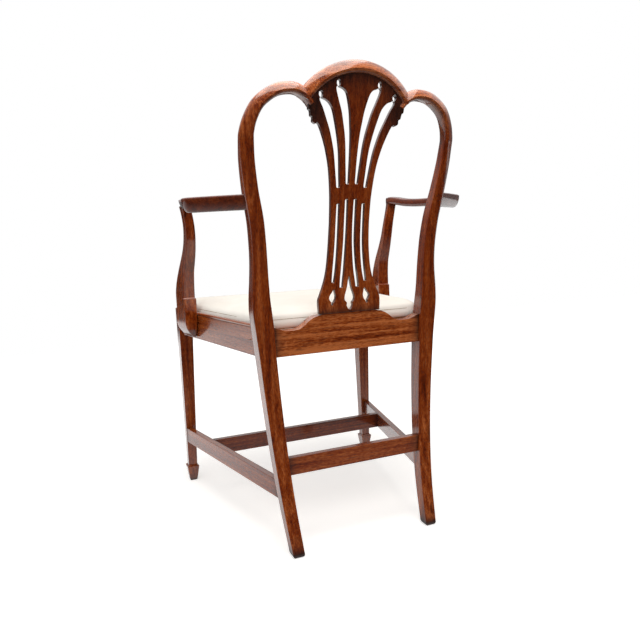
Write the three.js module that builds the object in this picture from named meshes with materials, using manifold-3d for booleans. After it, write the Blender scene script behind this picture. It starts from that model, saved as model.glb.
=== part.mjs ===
// A mahogany carver armchair with a triple-arched back, a pierced fan splat and a drop-in seat.
// Millimetres, +Z up, the chair faces -Y, and its left arm is at +X. The origin is on the floor.
import * as THREE from 'three';
import { mergeVertices } from 'three/addons/utils/BufferGeometryUtils.js';
import Module from 'manifold-3d';

const wasm = await Module();
wasm.setup();

// Driving dimensions
const overallHeight = 950;
const gap = 0.3;
const overrun = 30;
const seatRail = {
  bottom: 400, height: 63, drop: 2, thickness: 24, bead: 4, beadStep: 1.5, faceRecess: 0.6,
};
const frontLeg = {
  outerFace: 271.5, frontFace: 282.3, topSide: 36, ankleSide: 22.5, ankleHeight: 46,
  footWidth: 30.5, footHeight: 41, soleWidth: 18, arris: 1.2, toeIn: 2,
};
const backFrame = { halfSpan: 213.7, lean: 87, depth: 26 };
const backLeg = { footIn: 32.5, footSide: 24.5, railSide: 34.5, backFace: 200.2, rake: 51 };
const arch = {
  radius: backFrame.halfSpan * 0.6715, band: 24.5, halfAngle: 56 * Math.PI / 180, depth: 27,
};
const splat = {
  thickness: 10, recess: 5, halfBase: backFrame.halfSpan * 0.3229, headroom: 20, tenon: 14,
};
const backRail = { recess: 5.5, shoeHeight: 76, endHeight: 58, ledge: 12 };
const tenon = {
  length: 20, backLength: 9, thickness: 10, shoulder: 8, stretcherLength: 12, stretcherThickness: 7,
};
const sideStretcher = { bottom: 109, height: 37.5, thickness: 15, faceRecess: 1, cope: 2 };
const middleStretcher = { backFace: -120.8 };
const backStretcher = { bottom: 156, height: 36.5, recess: 5.5 };
const arm = {
  riseShare: 0.5718, elbowRise: 12.5, backHeight: 29, handHeight: 19, backWidth: 20, handWidth: 25,
  inset: 13.6, crookX: 307, crookY: 129, elbowX: 266, elbowY: -103.7,
};
const support = {
  width: 22, padWidth: 25, padFront: 55, padBack: 117, bottom: 403, headDrop: 6, splay: 10.5,
  tenonHeight: 9, tenonSide: 14,
};
const seat = {
  rebateDepth: 15, rebateWidth: 12, play: 1.2, frameWidth: 48, frameHeight: 17, webWidth: 50,
  webThickness: 1.1, clothThickness: 0.8, coverThickness: 1.3, crown: 30, drawIn: 4, cornerRadius: 14,
};
const cornerBlock = { leg: 58, height: 30, drop: 3 };
const screw = {
  headRadius: 4.2, shankRadius: 2.1, headHeight: 3, slotWidth: 1, slotDepth: 1.2, sink: 1.5,
};
const screwLength = { block: 40, support: 36, arm: 42 };

const railTop = seatRail.bottom + seatRail.height;
const railBase = seatRail.bottom - seatRail.drop;
const backRise = overallHeight - seatRail.bottom;
const legBackFront = -frontLeg.frontFace + frontLeg.topSide;

// Tables of shares: heights run from the foot of the back to its top
const rakeShares = [[0, 1], [0.24, 0.5], [0.4875, 0.19], [0.75, 0.04], [1, 0]];
const leanShares = [
  [-1, 0], [0, 0], [0.136, 0.029], [0.281, 0.046], [0.341, 0.072], [0.402, 0.115], [0.476, 0.19],
  [0.567, 0.299], [0.6775, 0.454], [0.7645, 0.592], [0.884, 0.799], [1, 1], [1.02, 1.035],
];
const stileShares = [
  [0, 0.8458, 1, 1, 0], [0.0996, 0.8648, 1.1, 0.97, 0.1], [0.159, 0.8797, 1.13, 0.93, 0.5],
  [0.21, 0.8863, 1.07, 0.88, 1], [0.281, 0.884, 0.942, 0.83, 1], [0.341, 0.8844, 0.87, 0.8, 1],
  [0.402, 0.891, 0.84, 0.79, 1], [0.476, 0.9088, 0.829, 0.78, 1], [0.522, 0.9289, 0.826, 0.78, 1],
  [0.582, 0.9588, 0.81, 0.77, 1], [0.6775, 0.9916, 0.79, 0.76, 1], [0.74, 1, 0.767, 0.754, 1],
];
const hoopShares = [
  [1, 0.7418, 0.767], [0.998, 0.764, 0.75], [0.9724, 0.8036, 0.71], [0.9158, 0.8464, 0.68],
  [0.8334, 0.8756, 0.655], [0.737, 0.8955, 0.625], [0.6327, 0.9025, 0.605], [0.556, 0.899, 0.59],
  [0.478, 0.884, 0.55], [0.425, 0.858, 0.47],
];
const squareShares = [
  [-0.5, 0.5], [-0.5, 0.04], [-0.46, 0], [-0.15, 0], [0.15, 0], [0.46, 0], [0.5, 0.04], [0.5, 0.5],
  [0.5, 0.96], [0.46, 1], [0.2, 1], [-0.2, 1], [-0.46, 1], [-0.5, 0.96],
];
const mouldedShares = [
  [-0.5, 0.52], [-0.46, 0.26], [-0.33, 0.1], [-0.1, 0.02], [0.08, 0], [0.3, 0.1], [0.45, 0.28],
  [0.5, 0.52], [0.47, 0.84], [0.36, 1], [0.17, 0.93], [-0.17, 0.93], [-0.36, 1], [-0.47, 0.84],
];

// Heights and places that follow from the sizes and the tables
const jointHeight = seatRail.bottom + backRise * hoopShares[0][1];
const armTop = seatRail.bottom + backRise * arm.riseShare;
const supportTop = armTop - support.headDrop;
const splatBottom = seatRail.bottom + backRail.shoeHeight;
const splatTop = overallHeight - splat.headroom;
const railOuter = backFrame.halfSpan * stileShares[0][1] + backLeg.railSide / 2;
const footOuter = railOuter - backLeg.footIn;

// Small maths
const lerp = (a, b, t) => a + (b - a) * t;

function smooth(table, t, column = 1) {
  let i = 0;
  while (i < table.length - 2 && t > table[i + 1][0]) i += 1;
  const slope = (k) => {
    const a = table[Math.max(k - 1, 0)];
    const b = table[Math.min(k + 1, table.length - 1)];
    return (b[column] - a[column]) / (b[0] - a[0]);
  };
  const [a, b] = [table[i], table[i + 1]];
  const span = b[0] - a[0];
  const u = (t - a[0]) / span;
  const h = u * u * (3 - 2 * u);
  return lerp(a[column], b[column], h)
    + span * u * (1 - u) * (slope(i) * (1 - u) - slope(i + 1) * u);
}

// Distance of the back's rear face from the middle plane, at a height
function backFaceAt(z) {
  if (z >= seatRail.bottom) {
    return backLeg.backFace + backFrame.lean * smooth(leanShares, (z - seatRail.bottom) / backRise);
  }
  return backLeg.backFace + backLeg.rake * smooth(rakeShares, Math.max(z, 0) / seatRail.bottom);
}

// Middle, width and depth of the stile at a share of its rise
function stileAt(t) {
  return {
    x: backFrame.halfSpan * smooth(stileShares, t, 1),
    width: backLeg.railSide * smooth(stileShares, t, 2),
    depth: backLeg.railSide * smooth(stileShares, t, 3),
  };
}

const armStile = stileAt((armTop - seatRail.bottom) / backRise);
const armStart = { x: armStile.x, y: backFaceAt(armTop) - arm.inset };

// Solids and geometry
function solid(geometry) {
  const bare = geometry.clone();
  bare.deleteAttribute('normal');
  bare.deleteAttribute('uv');
  const merged = mergeVertices(bare, 1e-4);
  return new wasm.Manifold(new wasm.Mesh({
    numProp: 3,
    vertProperties: new Float32Array(merged.attributes.position.array),
    triVerts: new Uint32Array(merged.index.array),
  }));
}

function geometryOf(shape) {
  const mesh = shape.getMesh();
  const geometry = new THREE.BufferGeometry();
  geometry.setAttribute('position', new THREE.BufferAttribute(new Float32Array(mesh.vertProperties), 3));
  geometry.setIndex(new THREE.BufferAttribute(new Uint32Array(mesh.triVerts), 1));
  geometry.computeVertexNormals();
  return geometry;
}

function loft(rings) {
  const count = rings[0].length;
  const positions = rings.flat().flatMap((p) => [p.x, p.y, p.z]);
  const faces = [];
  for (let r = 0; r < rings.length - 1; r += 1) {
    for (let k = 0; k < count; k += 1) {
      const a = r * count + k;
      const b = r * count + (k + 1) % count;
      faces.push(a, b, a + count, b, b + count, a + count);
    }
  }
  const last = (rings.length - 1) * count;
  for (let k = 1; k < count - 1; k += 1) {
    faces.push(0, k + 1, k, last, last + k, last + k + 1);
  }
  let volume = 0;
  const at = (i) => new THREE.Vector3().fromArray(positions, i * 3);
  for (let f = 0; f < faces.length; f += 3) {
    volume += at(faces[f]).dot(at(faces[f + 1]).cross(at(faces[f + 2])));
  }
  if (volume < 0) faces.reverse();
  const geometry = new THREE.BufferGeometry();
  geometry.setAttribute('position', new THREE.BufferAttribute(new Float32Array(positions), 3));
  geometry.setIndex(faces);
  return solid(geometry);
}

function block(x0, x1, y0, y1, z0, z1) {
  const box = new THREE.BoxGeometry(x1 - x0, y1 - y0, z1 - z0);
  box.translate((x0 + x1) / 2, (y0 + y1) / 2, (z0 + z1) / 2);
  return solid(box);
}

function outline(points) {
  return new THREE.Shape(points.map(([x, y]) => new THREE.Vector2(x, y)));
}

// A profile drawn in plan and raised, or drawn in the front view and run from front to back
function raised(shape, z0, z1) {
  const rise = new THREE.ExtrudeGeometry(shape, { depth: z1 - z0, bevelEnabled: false });
  return solid(rise.translate(0, 0, z0));
}

function runBack(shape, y0, y1) {
  const run = new THREE.ExtrudeGeometry(shape, { depth: y1 - y0, bevelEnabled: false });
  return solid(run.rotateX(Math.PI / 2).translate(0, y1, 0));
}

function mirrored(shape) {
  const mesh = shape.getMesh();
  const positions = new Float32Array(mesh.vertProperties);
  for (let i = 0; i < positions.length; i += 3) positions[i] = -positions[i];
  const faces = new Uint32Array(mesh.triVerts).reverse();
  return new wasm.Manifold(new wasm.Mesh({ numProp: 3, vertProperties: positions, triVerts: faces }));
}

function turned(shape, matrix) {
  return solid(geometryOf(shape).applyMatrix4(matrix));
}

const joinAll = (parts) => parts.reduce((whole, next) => whole.add(next));
const cutAll = (whole, cutters) => cutters.reduce((rest, next) => rest.subtract(next), whole);

// The side of the chair: a line from the front leg's back corner to the back leg's front corner
const sideRun = new THREE.Vector2(
  railOuter - frontLeg.outerFace,
  backLeg.backFace - backLeg.railSide - legBackFront,
);
const sideLength = sideRun.length();
const sideMatrix = new THREE.Matrix4()
  .makeRotationZ(-Math.atan2(sideRun.x, sideRun.y))
  .setPosition(frontLeg.outerFace, legBackFront, 0);
const alongSide = (shape) => turned(shape, sideMatrix);

// Outer face of the back leg below the seat, and its side there
const legShareAt = (z) => Math.min(z / seatRail.bottom, 1);
const legOuterAt = (z) => lerp(footOuter, railOuter, legShareAt(z));
const legSideAt = (z) => lerp(backLeg.footSide, backLeg.railSide, legShareAt(z));

// One ring of the back's moulded section, square where roundness is 0
function backRing(centre, normal, width, depth, roundness) {
  return squareShares.map((flat, k) => {
    const n = lerp(flat[0], mouldedShares[k][0], roundness) * width;
    const b = lerp(flat[1], mouldedShares[k][1], roundness) * depth;
    const x = centre.x + normal.x * n;
    const z = centre.y + normal.y * n;
    return new THREE.Vector3(x, backFaceAt(z) - b, z);
  });
}

function backLegBlank() {
  const level = new THREE.Vector2(1, 0);
  const rings = [];
  const footSteps = 8;
  for (let k = 0; k < footSteps; k += 1) {
    const z = seatRail.bottom * k / footSteps;
    const side = legSideAt(z);
    rings.push(backRing(new THREE.Vector2(legOuterAt(z) - side / 2, z), level, side, side, 0));
  }
  const stileSteps = 22;
  const topShare = (jointHeight - seatRail.bottom) / backRise;
  for (let k = 0; k <= stileSteps; k += 1) {
    const t = topShare * k / stileSteps;
    const { x, width, depth } = stileAt(t);
    const centre = new THREE.Vector2(x, seatRail.bottom + backRise * t);
    rings.push(backRing(centre, level, width, depth, Math.max(smooth(stileShares, t, 4), 0)));
  }
  return loft(rings);
}

// Tenons: each is made a little larger to cut its own mortise
function stileTenon(grow) {
  const y = backFaceAt(jointHeight) - backFrame.depth / 2;
  const half = tenon.thickness / 2 + grow;
  return block(
    backFrame.halfSpan - half, backFrame.halfSpan + half, y - half, y + half,
    jointHeight - overrun / 2, jointHeight + tenon.length + grow,
  );
}

function backRailTenons(grow) {
  const y = backLeg.backFace - backRail.recess - seatRail.thickness / 2;
  const reach = legOuterAt(seatRail.bottom) - backLeg.railSide + tenon.length + grow;
  const half = tenon.thickness / 2 + grow;
  return block(
    -reach, reach, y - half, y + half,
    seatRail.bottom + tenon.shoulder - grow, seatRail.bottom + backRail.endHeight - tenon.shoulder + grow,
  );
}

function sideRailTenons(grow) {
  const inset = seatRail.faceRecess + seatRail.thickness / 2;
  const half = tenon.thickness / 2 + grow;
  return alongSide(block(
    -inset - half, -inset + half, -tenon.length - grow, sideLength + tenon.backLength + grow,
    seatRail.bottom + tenon.shoulder - grow, railTop - seat.rebateDepth - tenon.shoulder / 2 + grow,
  ));
}

function frontRailTenons(grow) {
  const y = -frontLeg.frontFace + frontLeg.topSide / 2 - tenon.shoulder / 2;
  const reach = frontLeg.outerFace - frontLeg.topSide + tenon.length * 0.55 + grow;
  const half = tenon.thickness / 2 + grow;
  return block(
    -reach, reach, y - half, y + half,
    seatRail.bottom + tenon.shoulder - grow, railTop - seat.rebateDepth - tenon.shoulder / 2 + grow,
  );
}

function sideStretcherTenons(grow) {
  const inset = sideStretcher.faceRecess + sideStretcher.thickness / 2;
  const half = tenon.stretcherThickness / 2 + grow;
  return sideStretcherPlace(block(
    -inset - half, -inset + half, -tenon.stretcherLength - grow,
    stretcherLength + tenon.stretcherLength + grow,
    sideStretcher.bottom + tenon.shoulder - grow,
    sideStretcher.bottom + sideStretcher.height - tenon.shoulder + grow,
  ));
}

function backStretcherTenons(grow) {
  const middle = backStretcher.bottom + backStretcher.height / 2;
  const y = backFaceAt(middle) - backStretcher.recess - sideStretcher.thickness / 2;
  const reach = legOuterAt(middle) - legSideAt(middle) + tenon.stretcherLength + grow;
  const half = tenon.stretcherThickness / 2 + grow;
  return block(
    -reach, reach, y - half, y + half,
    backStretcher.bottom + tenon.shoulder - grow,
    backStretcher.bottom + backStretcher.height - tenon.shoulder + grow,
  );
}

// The side stretcher runs from the tapered front leg to the raked back leg
const frontSideAt = (z) => lerp(
  frontLeg.ankleSide, frontLeg.topSide,
  THREE.MathUtils.clamp((z - frontLeg.ankleHeight) / (railTop - frontLeg.ankleHeight), 0, 1),
);
const stretcherMiddle = sideStretcher.bottom + sideStretcher.height / 2;
const toeInAt = (z) => frontLeg.toeIn * (1 - (z - frontLeg.ankleHeight) / (railTop - frontLeg.ankleHeight));
const stretcherFront = new THREE.Vector2(
  frontLeg.outerFace - toeInAt(stretcherMiddle),
  toeInAt(stretcherMiddle) - frontLeg.frontFace + frontSideAt(stretcherMiddle),
);
const stretcherRun = new THREE.Vector2(
  legOuterAt(stretcherMiddle) - stretcherFront.x,
  backFaceAt(stretcherMiddle) - legSideAt(stretcherMiddle) - stretcherFront.y,
);
const stretcherLength = stretcherRun.length();
const stretcherMatrix = new THREE.Matrix4()
  .makeRotationZ(-Math.atan2(stretcherRun.x, stretcherRun.y))
  .setPosition(stretcherFront.x, stretcherFront.y, 0);
const sideStretcherPlace = (shape) => turned(shape, stretcherMatrix);

function frontLegBlank() {
  const corner = (side, inset) => {
    const c = Math.min(frontLeg.arris, side / 8);
    const [x1, y0] = [frontLeg.outerFace - inset, inset - frontLeg.frontFace];
    const [x0, y1] = [x1 - side, y0 + side];
    return [
      [x0 + c, y0], [x1 - c, y0], [x1, y0 + c], [x1, y1 - c],
      [x1 - c, y1], [x0 + c, y1], [x0, y1 - c], [x0, y0 + c],
    ];
  };
  const ring = (side, z, inset) => corner(side, inset).map(([x, y]) => new THREE.Vector3(x, y, z));
  const footRing = (side, z) => ring(side, z, frontLeg.toeIn - (side - frontLeg.ankleSide) / 2);
  const neckShare = 0.5;
  const neck = lerp(frontLeg.footHeight, frontLeg.ankleHeight, neckShare);
  return loft([
    footRing(frontLeg.soleWidth, 0),
    footRing(lerp(frontLeg.soleWidth, frontLeg.footWidth, 0.56), frontLeg.footHeight * 0.5),
    footRing(frontLeg.footWidth, frontLeg.footHeight * 0.97),
    footRing(frontLeg.footWidth * 0.97, frontLeg.footHeight),
    footRing(frontLeg.ankleSide * 1.04, neck),
    ring(frontLeg.ankleSide, frontLeg.ankleHeight, frontLeg.toeIn),
    ring(frontLeg.topSide, railTop, 0),
  ]);
}

// Screws lie along their own Y axis, head first, at the origin
function screwBlank(length, grow) {
  const { headRadius, shankRadius, headHeight } = screw;
  const profile = [
    [0, -grow], [headRadius + grow, -grow], [headRadius + grow, headHeight * 0.2],
    [shankRadius + grow, headHeight + grow], [shankRadius + grow, length * 0.85], [0, length + grow],
  ].map(([r, h]) => new THREE.Vector2(r, h));
  const turnedShape = solid(new THREE.LatheGeometry(profile, 8));
  if (grow > 0) return turnedShape;
  const half = screw.slotWidth / 2;
  return turnedShape.subtract(block(
    -headRadius * 2, headRadius * 2, -overrun, screw.slotDepth, -half, half,
  ));
}

function screwAt(place, grow) {
  const along = place.aim.clone().normalize();
  const aim = new THREE.Quaternion().setFromUnitVectors(new THREE.Vector3(0, 1, 0), along);
  const matrix = new THREE.Matrix4().compose(place.head, aim, new THREE.Vector3(1, 1, 1));
  return turned(screwBlank(place.length, grow), matrix);
}

// Seat rails
function railSection() {
  const { thickness, bead, beadStep, faceRecess } = seatRail;
  const outer = -faceRecess;
  const inner = -faceRecess - thickness;
  return [
    [inner, railBase], [outer - beadStep, railBase],
    [outer - beadStep, railTop - bead * 2], [outer - beadStep * 1.7, railTop - bead * 1.8],
    [outer - beadStep * 0.6, railTop - bead * 1.5], [outer, railTop - bead * 0.8],
    [outer - beadStep, railTop - bead * 0.15], [outer - beadStep * 2.4, railTop],
    [inner + seat.rebateWidth, railTop], [inner + seat.rebateWidth, railTop - seat.rebateDepth],
    [inner, railTop - seat.rebateDepth],
  ];
}

const legLeft = backLegBlank();
const frontLeft = frontLegBlank();
const nudge = (shape, x, y) => shape.translate([x, y, 0]);

function sideRail() {
  const section = outline(railSection());
  const run = alongSide(runBack(section, -overrun, sideLength + overrun));
  const backLimit = backLeg.backFace - backLeg.railSide / 2;
  const between = block(
    -frontLeg.outerFace, frontLeg.outerFace + overrun, legBackFront + gap, backLimit, 0, overallHeight,
  );
  const body = run.intersect(between).subtract(nudge(legLeft, 0, -gap));
  return body.add(sideRailTenons(0).subtract(seatWell(0)));
}

function frontRail() {
  const half = frontLeg.outerFace - frontLeg.topSide - gap;
  const run = new THREE.ExtrudeGeometry(outline(railSection()), { depth: half * 2, bevelEnabled: false });
  run.rotateX(Math.PI / 2).translate(0, half, 0).rotateZ(-Math.PI / 2);
  run.translate(0, -frontLeg.frontFace, 0);
  return solid(run).add(frontRailTenons(0));
}

// The middle of the back rail rises in a swan-neck to the shoe that holds the splat
const shoeShares = [
  [1.1, 0.79], [1, 0.763], [0.885, 0.665], [0.78, 0.645], [0.69, 0.665], [0.62, 0.74], [0.555, 0.85],
  [0.49, 0.93], [0.42, 0.975],
];

function backSeatRail() {
  const half = legOuterAt(seatRail.bottom) - backLeg.railSide - gap;
  const rise = (share) => seatRail.bottom + backRail.shoeHeight * share;
  const curve = new THREE.SplineCurve(shoeShares.map(([x, z]) => new THREE.Vector2(half * x, rise(z))));
  const side = curve.getPoints(26).map((p) => [p.x, p.y]);
  const far = side[0][0];
  const top = [...side, [half * 0.36, rise(1)]];
  const base = [[-far, railBase], [far, railBase]];
  const profile = [...base, ...top, ...top.map(([x, z]) => [-x, z]).reverse()];
  const back = backLeg.backFace - backRail.recess;
  const front = back - seatRail.thickness;
  const run = runBack(outline(profile), front - backRail.ledge, back);
  const between = block(-half, half, -overallHeight, overallHeight, 0, overallHeight);
  const well = block(
    -half * 2, half * 2, -overallHeight, front, railTop - seat.rebateDepth, overallHeight,
  );
  return run.subtract(well).intersect(between).add(backRailTenons(0)).subtract(splatTenon(gap));
}

// Stretchers
function sideStretcherPiece() {
  const { bottom, height, thickness, faceRecess } = sideStretcher;
  const run = sideStretcherPlace(block(
    -faceRecess - thickness, -faceRecess, -overrun, stretcherLength + overrun, bottom, bottom + height,
  ));
  const between = block(
    0, stretcherFront.x - gap, stretcherFront.y - sideStretcher.cope,
    backFaceAt(stretcherMiddle) - legSideAt(stretcherMiddle) / 2, 0, overallHeight,
  );
  const coped = run.intersect(between).subtract(nudge(legLeft, 0, -gap)).subtract(nudge(frontLeft, 0, gap));
  return coped.add(sideStretcherTenons(0)).subtract(middleTenons(gap));
}

const sideInnerAt = (y) => {
  const t = (y - stretcherFront.y) / stretcherRun.y;
  const inset = (sideStretcher.faceRecess + sideStretcher.thickness) * stretcherLength / stretcherRun.y;
  return stretcherFront.x + stretcherRun.x * t - inset;
};

function middleTenons(grow) {
  const y = middleStretcher.backFace - sideStretcher.thickness / 2;
  const reach = sideInnerAt(y) + sideStretcher.thickness * 0.6 + grow;
  const half = tenon.stretcherThickness / 2 + grow;
  return block(
    -reach, reach, y - half, y + half, sideStretcher.bottom + tenon.shoulder - grow,
    sideStretcher.bottom + sideStretcher.height - tenon.shoulder + grow,
  );
}

function middlePiece() {
  const back = middleStretcher.backFace;
  const front = back - sideStretcher.thickness;
  const [xf, xb] = [sideInnerAt(front) - gap * 1.1, sideInnerAt(back) - gap * 1.1];
  const plan = outline([[-xf, front], [xf, front], [xb, back], [-xb, back]]);
  return raised(plan, sideStretcher.bottom, sideStretcher.bottom + sideStretcher.height).add(middleTenons(0));
}

function backStretcherPiece() {
  const { bottom, height } = backStretcher;
  const middle = bottom + height / 2;
  const back = backFaceAt(middle) - backStretcher.recess;
  const reach = legOuterAt(middle) - legSideAt(middle) / 2;
  const run = block(-reach, reach, back - sideStretcher.thickness, back, bottom, bottom + height);
  const legs = nudge(legLeft, -gap, 0);
  return run.subtract(legs).subtract(mirrored(legs)).add(backStretcherTenons(0));
}

// The crest: two hoops and the arch between them, in one piece
function hoop() {
  const count = 18;
  const curve = new THREE.SplineCurve(hoopShares.map(([x, z]) => new THREE.Vector2(
    backFrame.halfSpan * x, seatRail.bottom + backRise * z + gap,
  )));
  const widths = hoopShares.map((row, k) => [k / (hoopShares.length - 1), row[2]]);
  const rings = [];
  for (let k = 0; k <= count; k += 1) {
    const t = k / count;
    const tangent = k === 0 ? new THREE.Vector2(0, 1) : curve.getTangent(t);
    const normal = new THREE.Vector2(tangent.y, -tangent.x);
    const width = backLeg.railSide * smooth(widths, t);
    rings.push(backRing(curve.getPoint(t), normal, width, backFrame.depth, 1));
  }
  return loft(rings);
}

function archBand() {
  const count = 20;
  const centreHeight = overallHeight - arch.radius;
  const rings = [];
  for (let k = 0; k <= count; k += 1) {
    const angle = lerp(-arch.halfAngle, arch.halfAngle, k / count);
    const normal = new THREE.Vector2(Math.sin(angle), Math.cos(angle));
    const centre = normal.clone().multiplyScalar(arch.radius - arch.band / 2);
    centre.y += centreHeight;
    rings.push(backRing(centre, normal, arch.band, arch.depth, 1));
  }
  return loft(rings);
}

function crestBlank() {
  const left = hoop();
  return joinAll([archBand(), left, mirrored(left)]);
}

function crestRail() {
  const sockets = stileTenon(gap);
  return cutAll(crestBlank(), [sockets, mirrored(sockets), splatTongue(gap)]);
}

// The splat: drawn flat in the front view, then bent to the back's lean
const halfSplatShares = [
  [0.995, 0], [1.005, 0.057], [0.942, 0.086], [0.852, 0.12], [0.757, 0.164], [0.691, 0.216],
  [0.643, 0.297], [0.623, 0.377], [0.622, 0.42], [0.643, 0.515], [0.719, 0.619], [0.836, 0.694],
  [0.961, 0.747], [1.094, 0.79], [1.17, 0.802],
];
const earShares = [
  [1.21, 0.796], [1.3, 0.804], [1.31, 0.82], [1.365, 0.826], [1.39, 0.844], [1.44, 0.852],
  [1.445, 0.876],
];

const splatHeight = splatTop - splatBottom;
const splatPoint = (x, z) => new THREE.Vector2(splat.halfBase * x, splatBottom + splatHeight * z);

// Each slot is a row of [height share, inner edge share, outer edge share]. The fan's slots end in a keyhole.
const outerSlotShares = [
  [0.5455, 0.405, 0.45], [0.5485, 0.38, 0.475], [0.556, 0.374, 0.486], [0.576, 0.385, 0.501],
  [0.6, 0.398, 0.526], [0.655, 0.426, 0.579], [0.695, 0.455, 0.627], [0.735, 0.504, 0.699],
  [0.774, 0.566, 0.782], [0.814, 0.641, 0.897], [0.854, 0.73, 1.016], [0.876, 0.835, 1.1],
  [0.887, 0.94, 1.133], [0.8915, 1.03, 1.13], [0.8945, 1.068, 1.115], [0.898, 1.058, 1.145],
  [0.903, 1.047, 1.162], [0.9085, 1.046, 1.165], [0.914, 1.055, 1.155], [0.9185, 1.082, 1.128],
  [0.9192, 1.095, 1.115],
];
const innerSlotShares = [
  [0.5605, 0.12, 0.165], [0.5635, 0.1, 0.187], [0.571, 0.092, 0.196], [0.6, 0.096, 0.21],
  [0.652, 0.101, 0.242], [0.691, 0.109, 0.263], [0.729, 0.121, 0.291], [0.768, 0.141, 0.336],
  [0.807, 0.174, 0.398], [0.846, 0.212, 0.467], [0.884, 0.274, 0.566], [0.915, 0.345, 0.643],
  [0.928, 0.42, 0.668], [0.934, 0.5, 0.672], [0.9375, 0.575, 0.655], [0.94, 0.588, 0.64],
  [0.943, 0.572, 0.655], [0.948, 0.556, 0.67], [0.9535, 0.556, 0.67], [0.959, 0.568, 0.658],
  [0.963, 0.592, 0.633], [0.9636, 0.605, 0.62],
];
const outerLowShares = [
  [0.4795, 0.375, 0.425], [0.4765, 0.358, 0.441], [0.469, 0.352, 0.446], [0.45, 0.35, 0.448],
  [0.386, 0.35, 0.454], [0.321, 0.357, 0.462], [0.255, 0.378, 0.49], [0.19, 0.42, 0.533],
  [0.155, 0.46, 0.556], [0.141, 0.48, 0.562], [0.1375, 0.5, 0.55],
];
const innerLowShares = [
  [0.4985, 0.115, 0.16], [0.4955, 0.097, 0.177], [0.487, 0.09, 0.183], [0.453, 0.085, 0.184],
  [0.388, 0.081, 0.187], [0.322, 0.09, 0.192], [0.257, 0.112, 0.22], [0.19, 0.147, 0.262],
  [0.158, 0.175, 0.288], [0.13, 0.2, 0.305], [0.1165, 0.21, 0.31], [0.113, 0.23, 0.295],
];
const teardropShares = [
  [0, 0.163], [0.075, 0.112], [0.155, 0.074], [0.152, 0.056], [0.09, 0.044], [0.098, 0.032],
  [0.055, 0.018], [0, 0.013],
];
const huskShares = [
  [0.495, 0.106], [0.58, 0.092], [0.655, 0.074], [0.64, 0.06], [0.59, 0.05], [0.6, 0.042], [0.56, 0.036],
  [0.525, 0.047], [0.475, 0.058], [0.445, 0.074], [0.46, 0.088],
];

function slotHole(rows, side) {
  const inner = new THREE.SplineCurve(rows.map(([z, x]) => splatPoint(x * side, z)));
  const outer = new THREE.SplineCurve(rows.map(([z, , x]) => splatPoint(x * side, z)));
  const steps = rows.length * 2;
  return [...inner.getPoints(steps), ...outer.getPoints(steps).reverse()];
}

function closedHole(points, steps) {
  const curve = new THREE.SplineCurve([...points, points[0]]);
  return curve.getPoints(steps).slice(0, -1);
}

function splatHoles() {
  const holes = [];
  for (const side of [1, -1]) {
    for (const rows of [outerSlotShares, innerSlotShares, outerLowShares, innerLowShares]) {
      holes.push(slotHole(rows, side));
    }
    holes.push(closedHole(huskShares.map(([x, z]) => splatPoint(x * side, z)), 22));
  }
  const tear = teardropShares.map(([x, z]) => splatPoint(x, z));
  const other = teardropShares.slice(1, -1).reverse().map(([x, z]) => splatPoint(-x, z));
  holes.push(closedHole([...tear, ...other], 26));
  return holes;
}

// Plates of the back are cut flat, then every point is set off from the leaning face
function leaningPlate(shape, depthBack, depthFront) {
  const plate = new THREE.ExtrudeGeometry(shape, { depth: depthFront - depthBack, bevelEnabled: false });
  plate.rotateX(Math.PI / 2);
  const p = plate.attributes.position;
  for (let i = 0; i < p.count; i += 1) p.setY(i, backFaceAt(p.getZ(i)) - depthBack + p.getY(i));
  return solid(plate);
}

const archInner = arch.radius - arch.band;
function underArch(clear, from) {
  const centre = overallHeight - arch.radius;
  const points = [];
  const count = 16;
  for (let k = 0; k <= count; k += 1) {
    const angle = lerp(from, -from, k / count);
    points.push(new THREE.Vector2(
      Math.sin(angle) * (archInner - clear), centre + Math.cos(angle) * (archInner - clear),
    ));
  }
  return points;
}

function splatOutline() {
  const right = new THREE.SplineCurve(halfSplatShares.map(([x, z]) => splatPoint(x, z))).getPoints(36);
  const ear = new THREE.SplineCurve(earShares.map(([x, z]) => splatPoint(x, z))).getPoints(12);
  const half = [...right, ...ear, new THREE.Vector2(ear[ear.length - 1].x, overallHeight)];
  return new THREE.Shape([...half, ...half.map((p) => new THREE.Vector2(-p.x, p.y)).reverse()]);
}

// The space under the arch, which the splat fills
function underCrest() {
  const centre = overallHeight - arch.radius;
  const circle = new THREE.EllipseCurve(0, centre, archInner - gap, archInner - gap).getPoints(64);
  const disc = runBack(new THREE.Shape(circle.slice(0, -1)), -overrun, overallHeight);
  return disc.add(block(-overallHeight, overallHeight, -overrun, overallHeight, 0, centre));
}

function splatTongue(grow) {
  const [depth, half] = [splat.recess + splat.thickness / 2, splat.thickness * 0.2 + grow];
  const reach = arch.halfAngle * 0.8 + grow / archInner;
  const centre = overallHeight - arch.radius;
  const low = underArch(arch.band * 0.15, reach);
  const high = low.map((p) => new THREE.Vector2(p.x, p.y - centre)
    .setLength(archInner + arch.band * 0.28 + grow).add(new THREE.Vector2(0, centre))).reverse();
  return leaningPlate(new THREE.Shape([...low, ...high]), depth - half, depth + half);
}

function splatTenon(grow) {
  const half = splat.halfBase * 0.8 + grow;
  const depth = splat.recess + splat.thickness / 2;
  const thick = splat.thickness * 0.3 + grow;
  const shape = outline([
    [-half, splatBottom - splat.tenon - grow], [half, splatBottom - splat.tenon - grow],
    [half, splatBottom + splat.tenon / 2], [-half, splatBottom + splat.tenon / 2],
  ]);
  return leaningPlate(shape, depth - thick, depth + thick);
}

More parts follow.
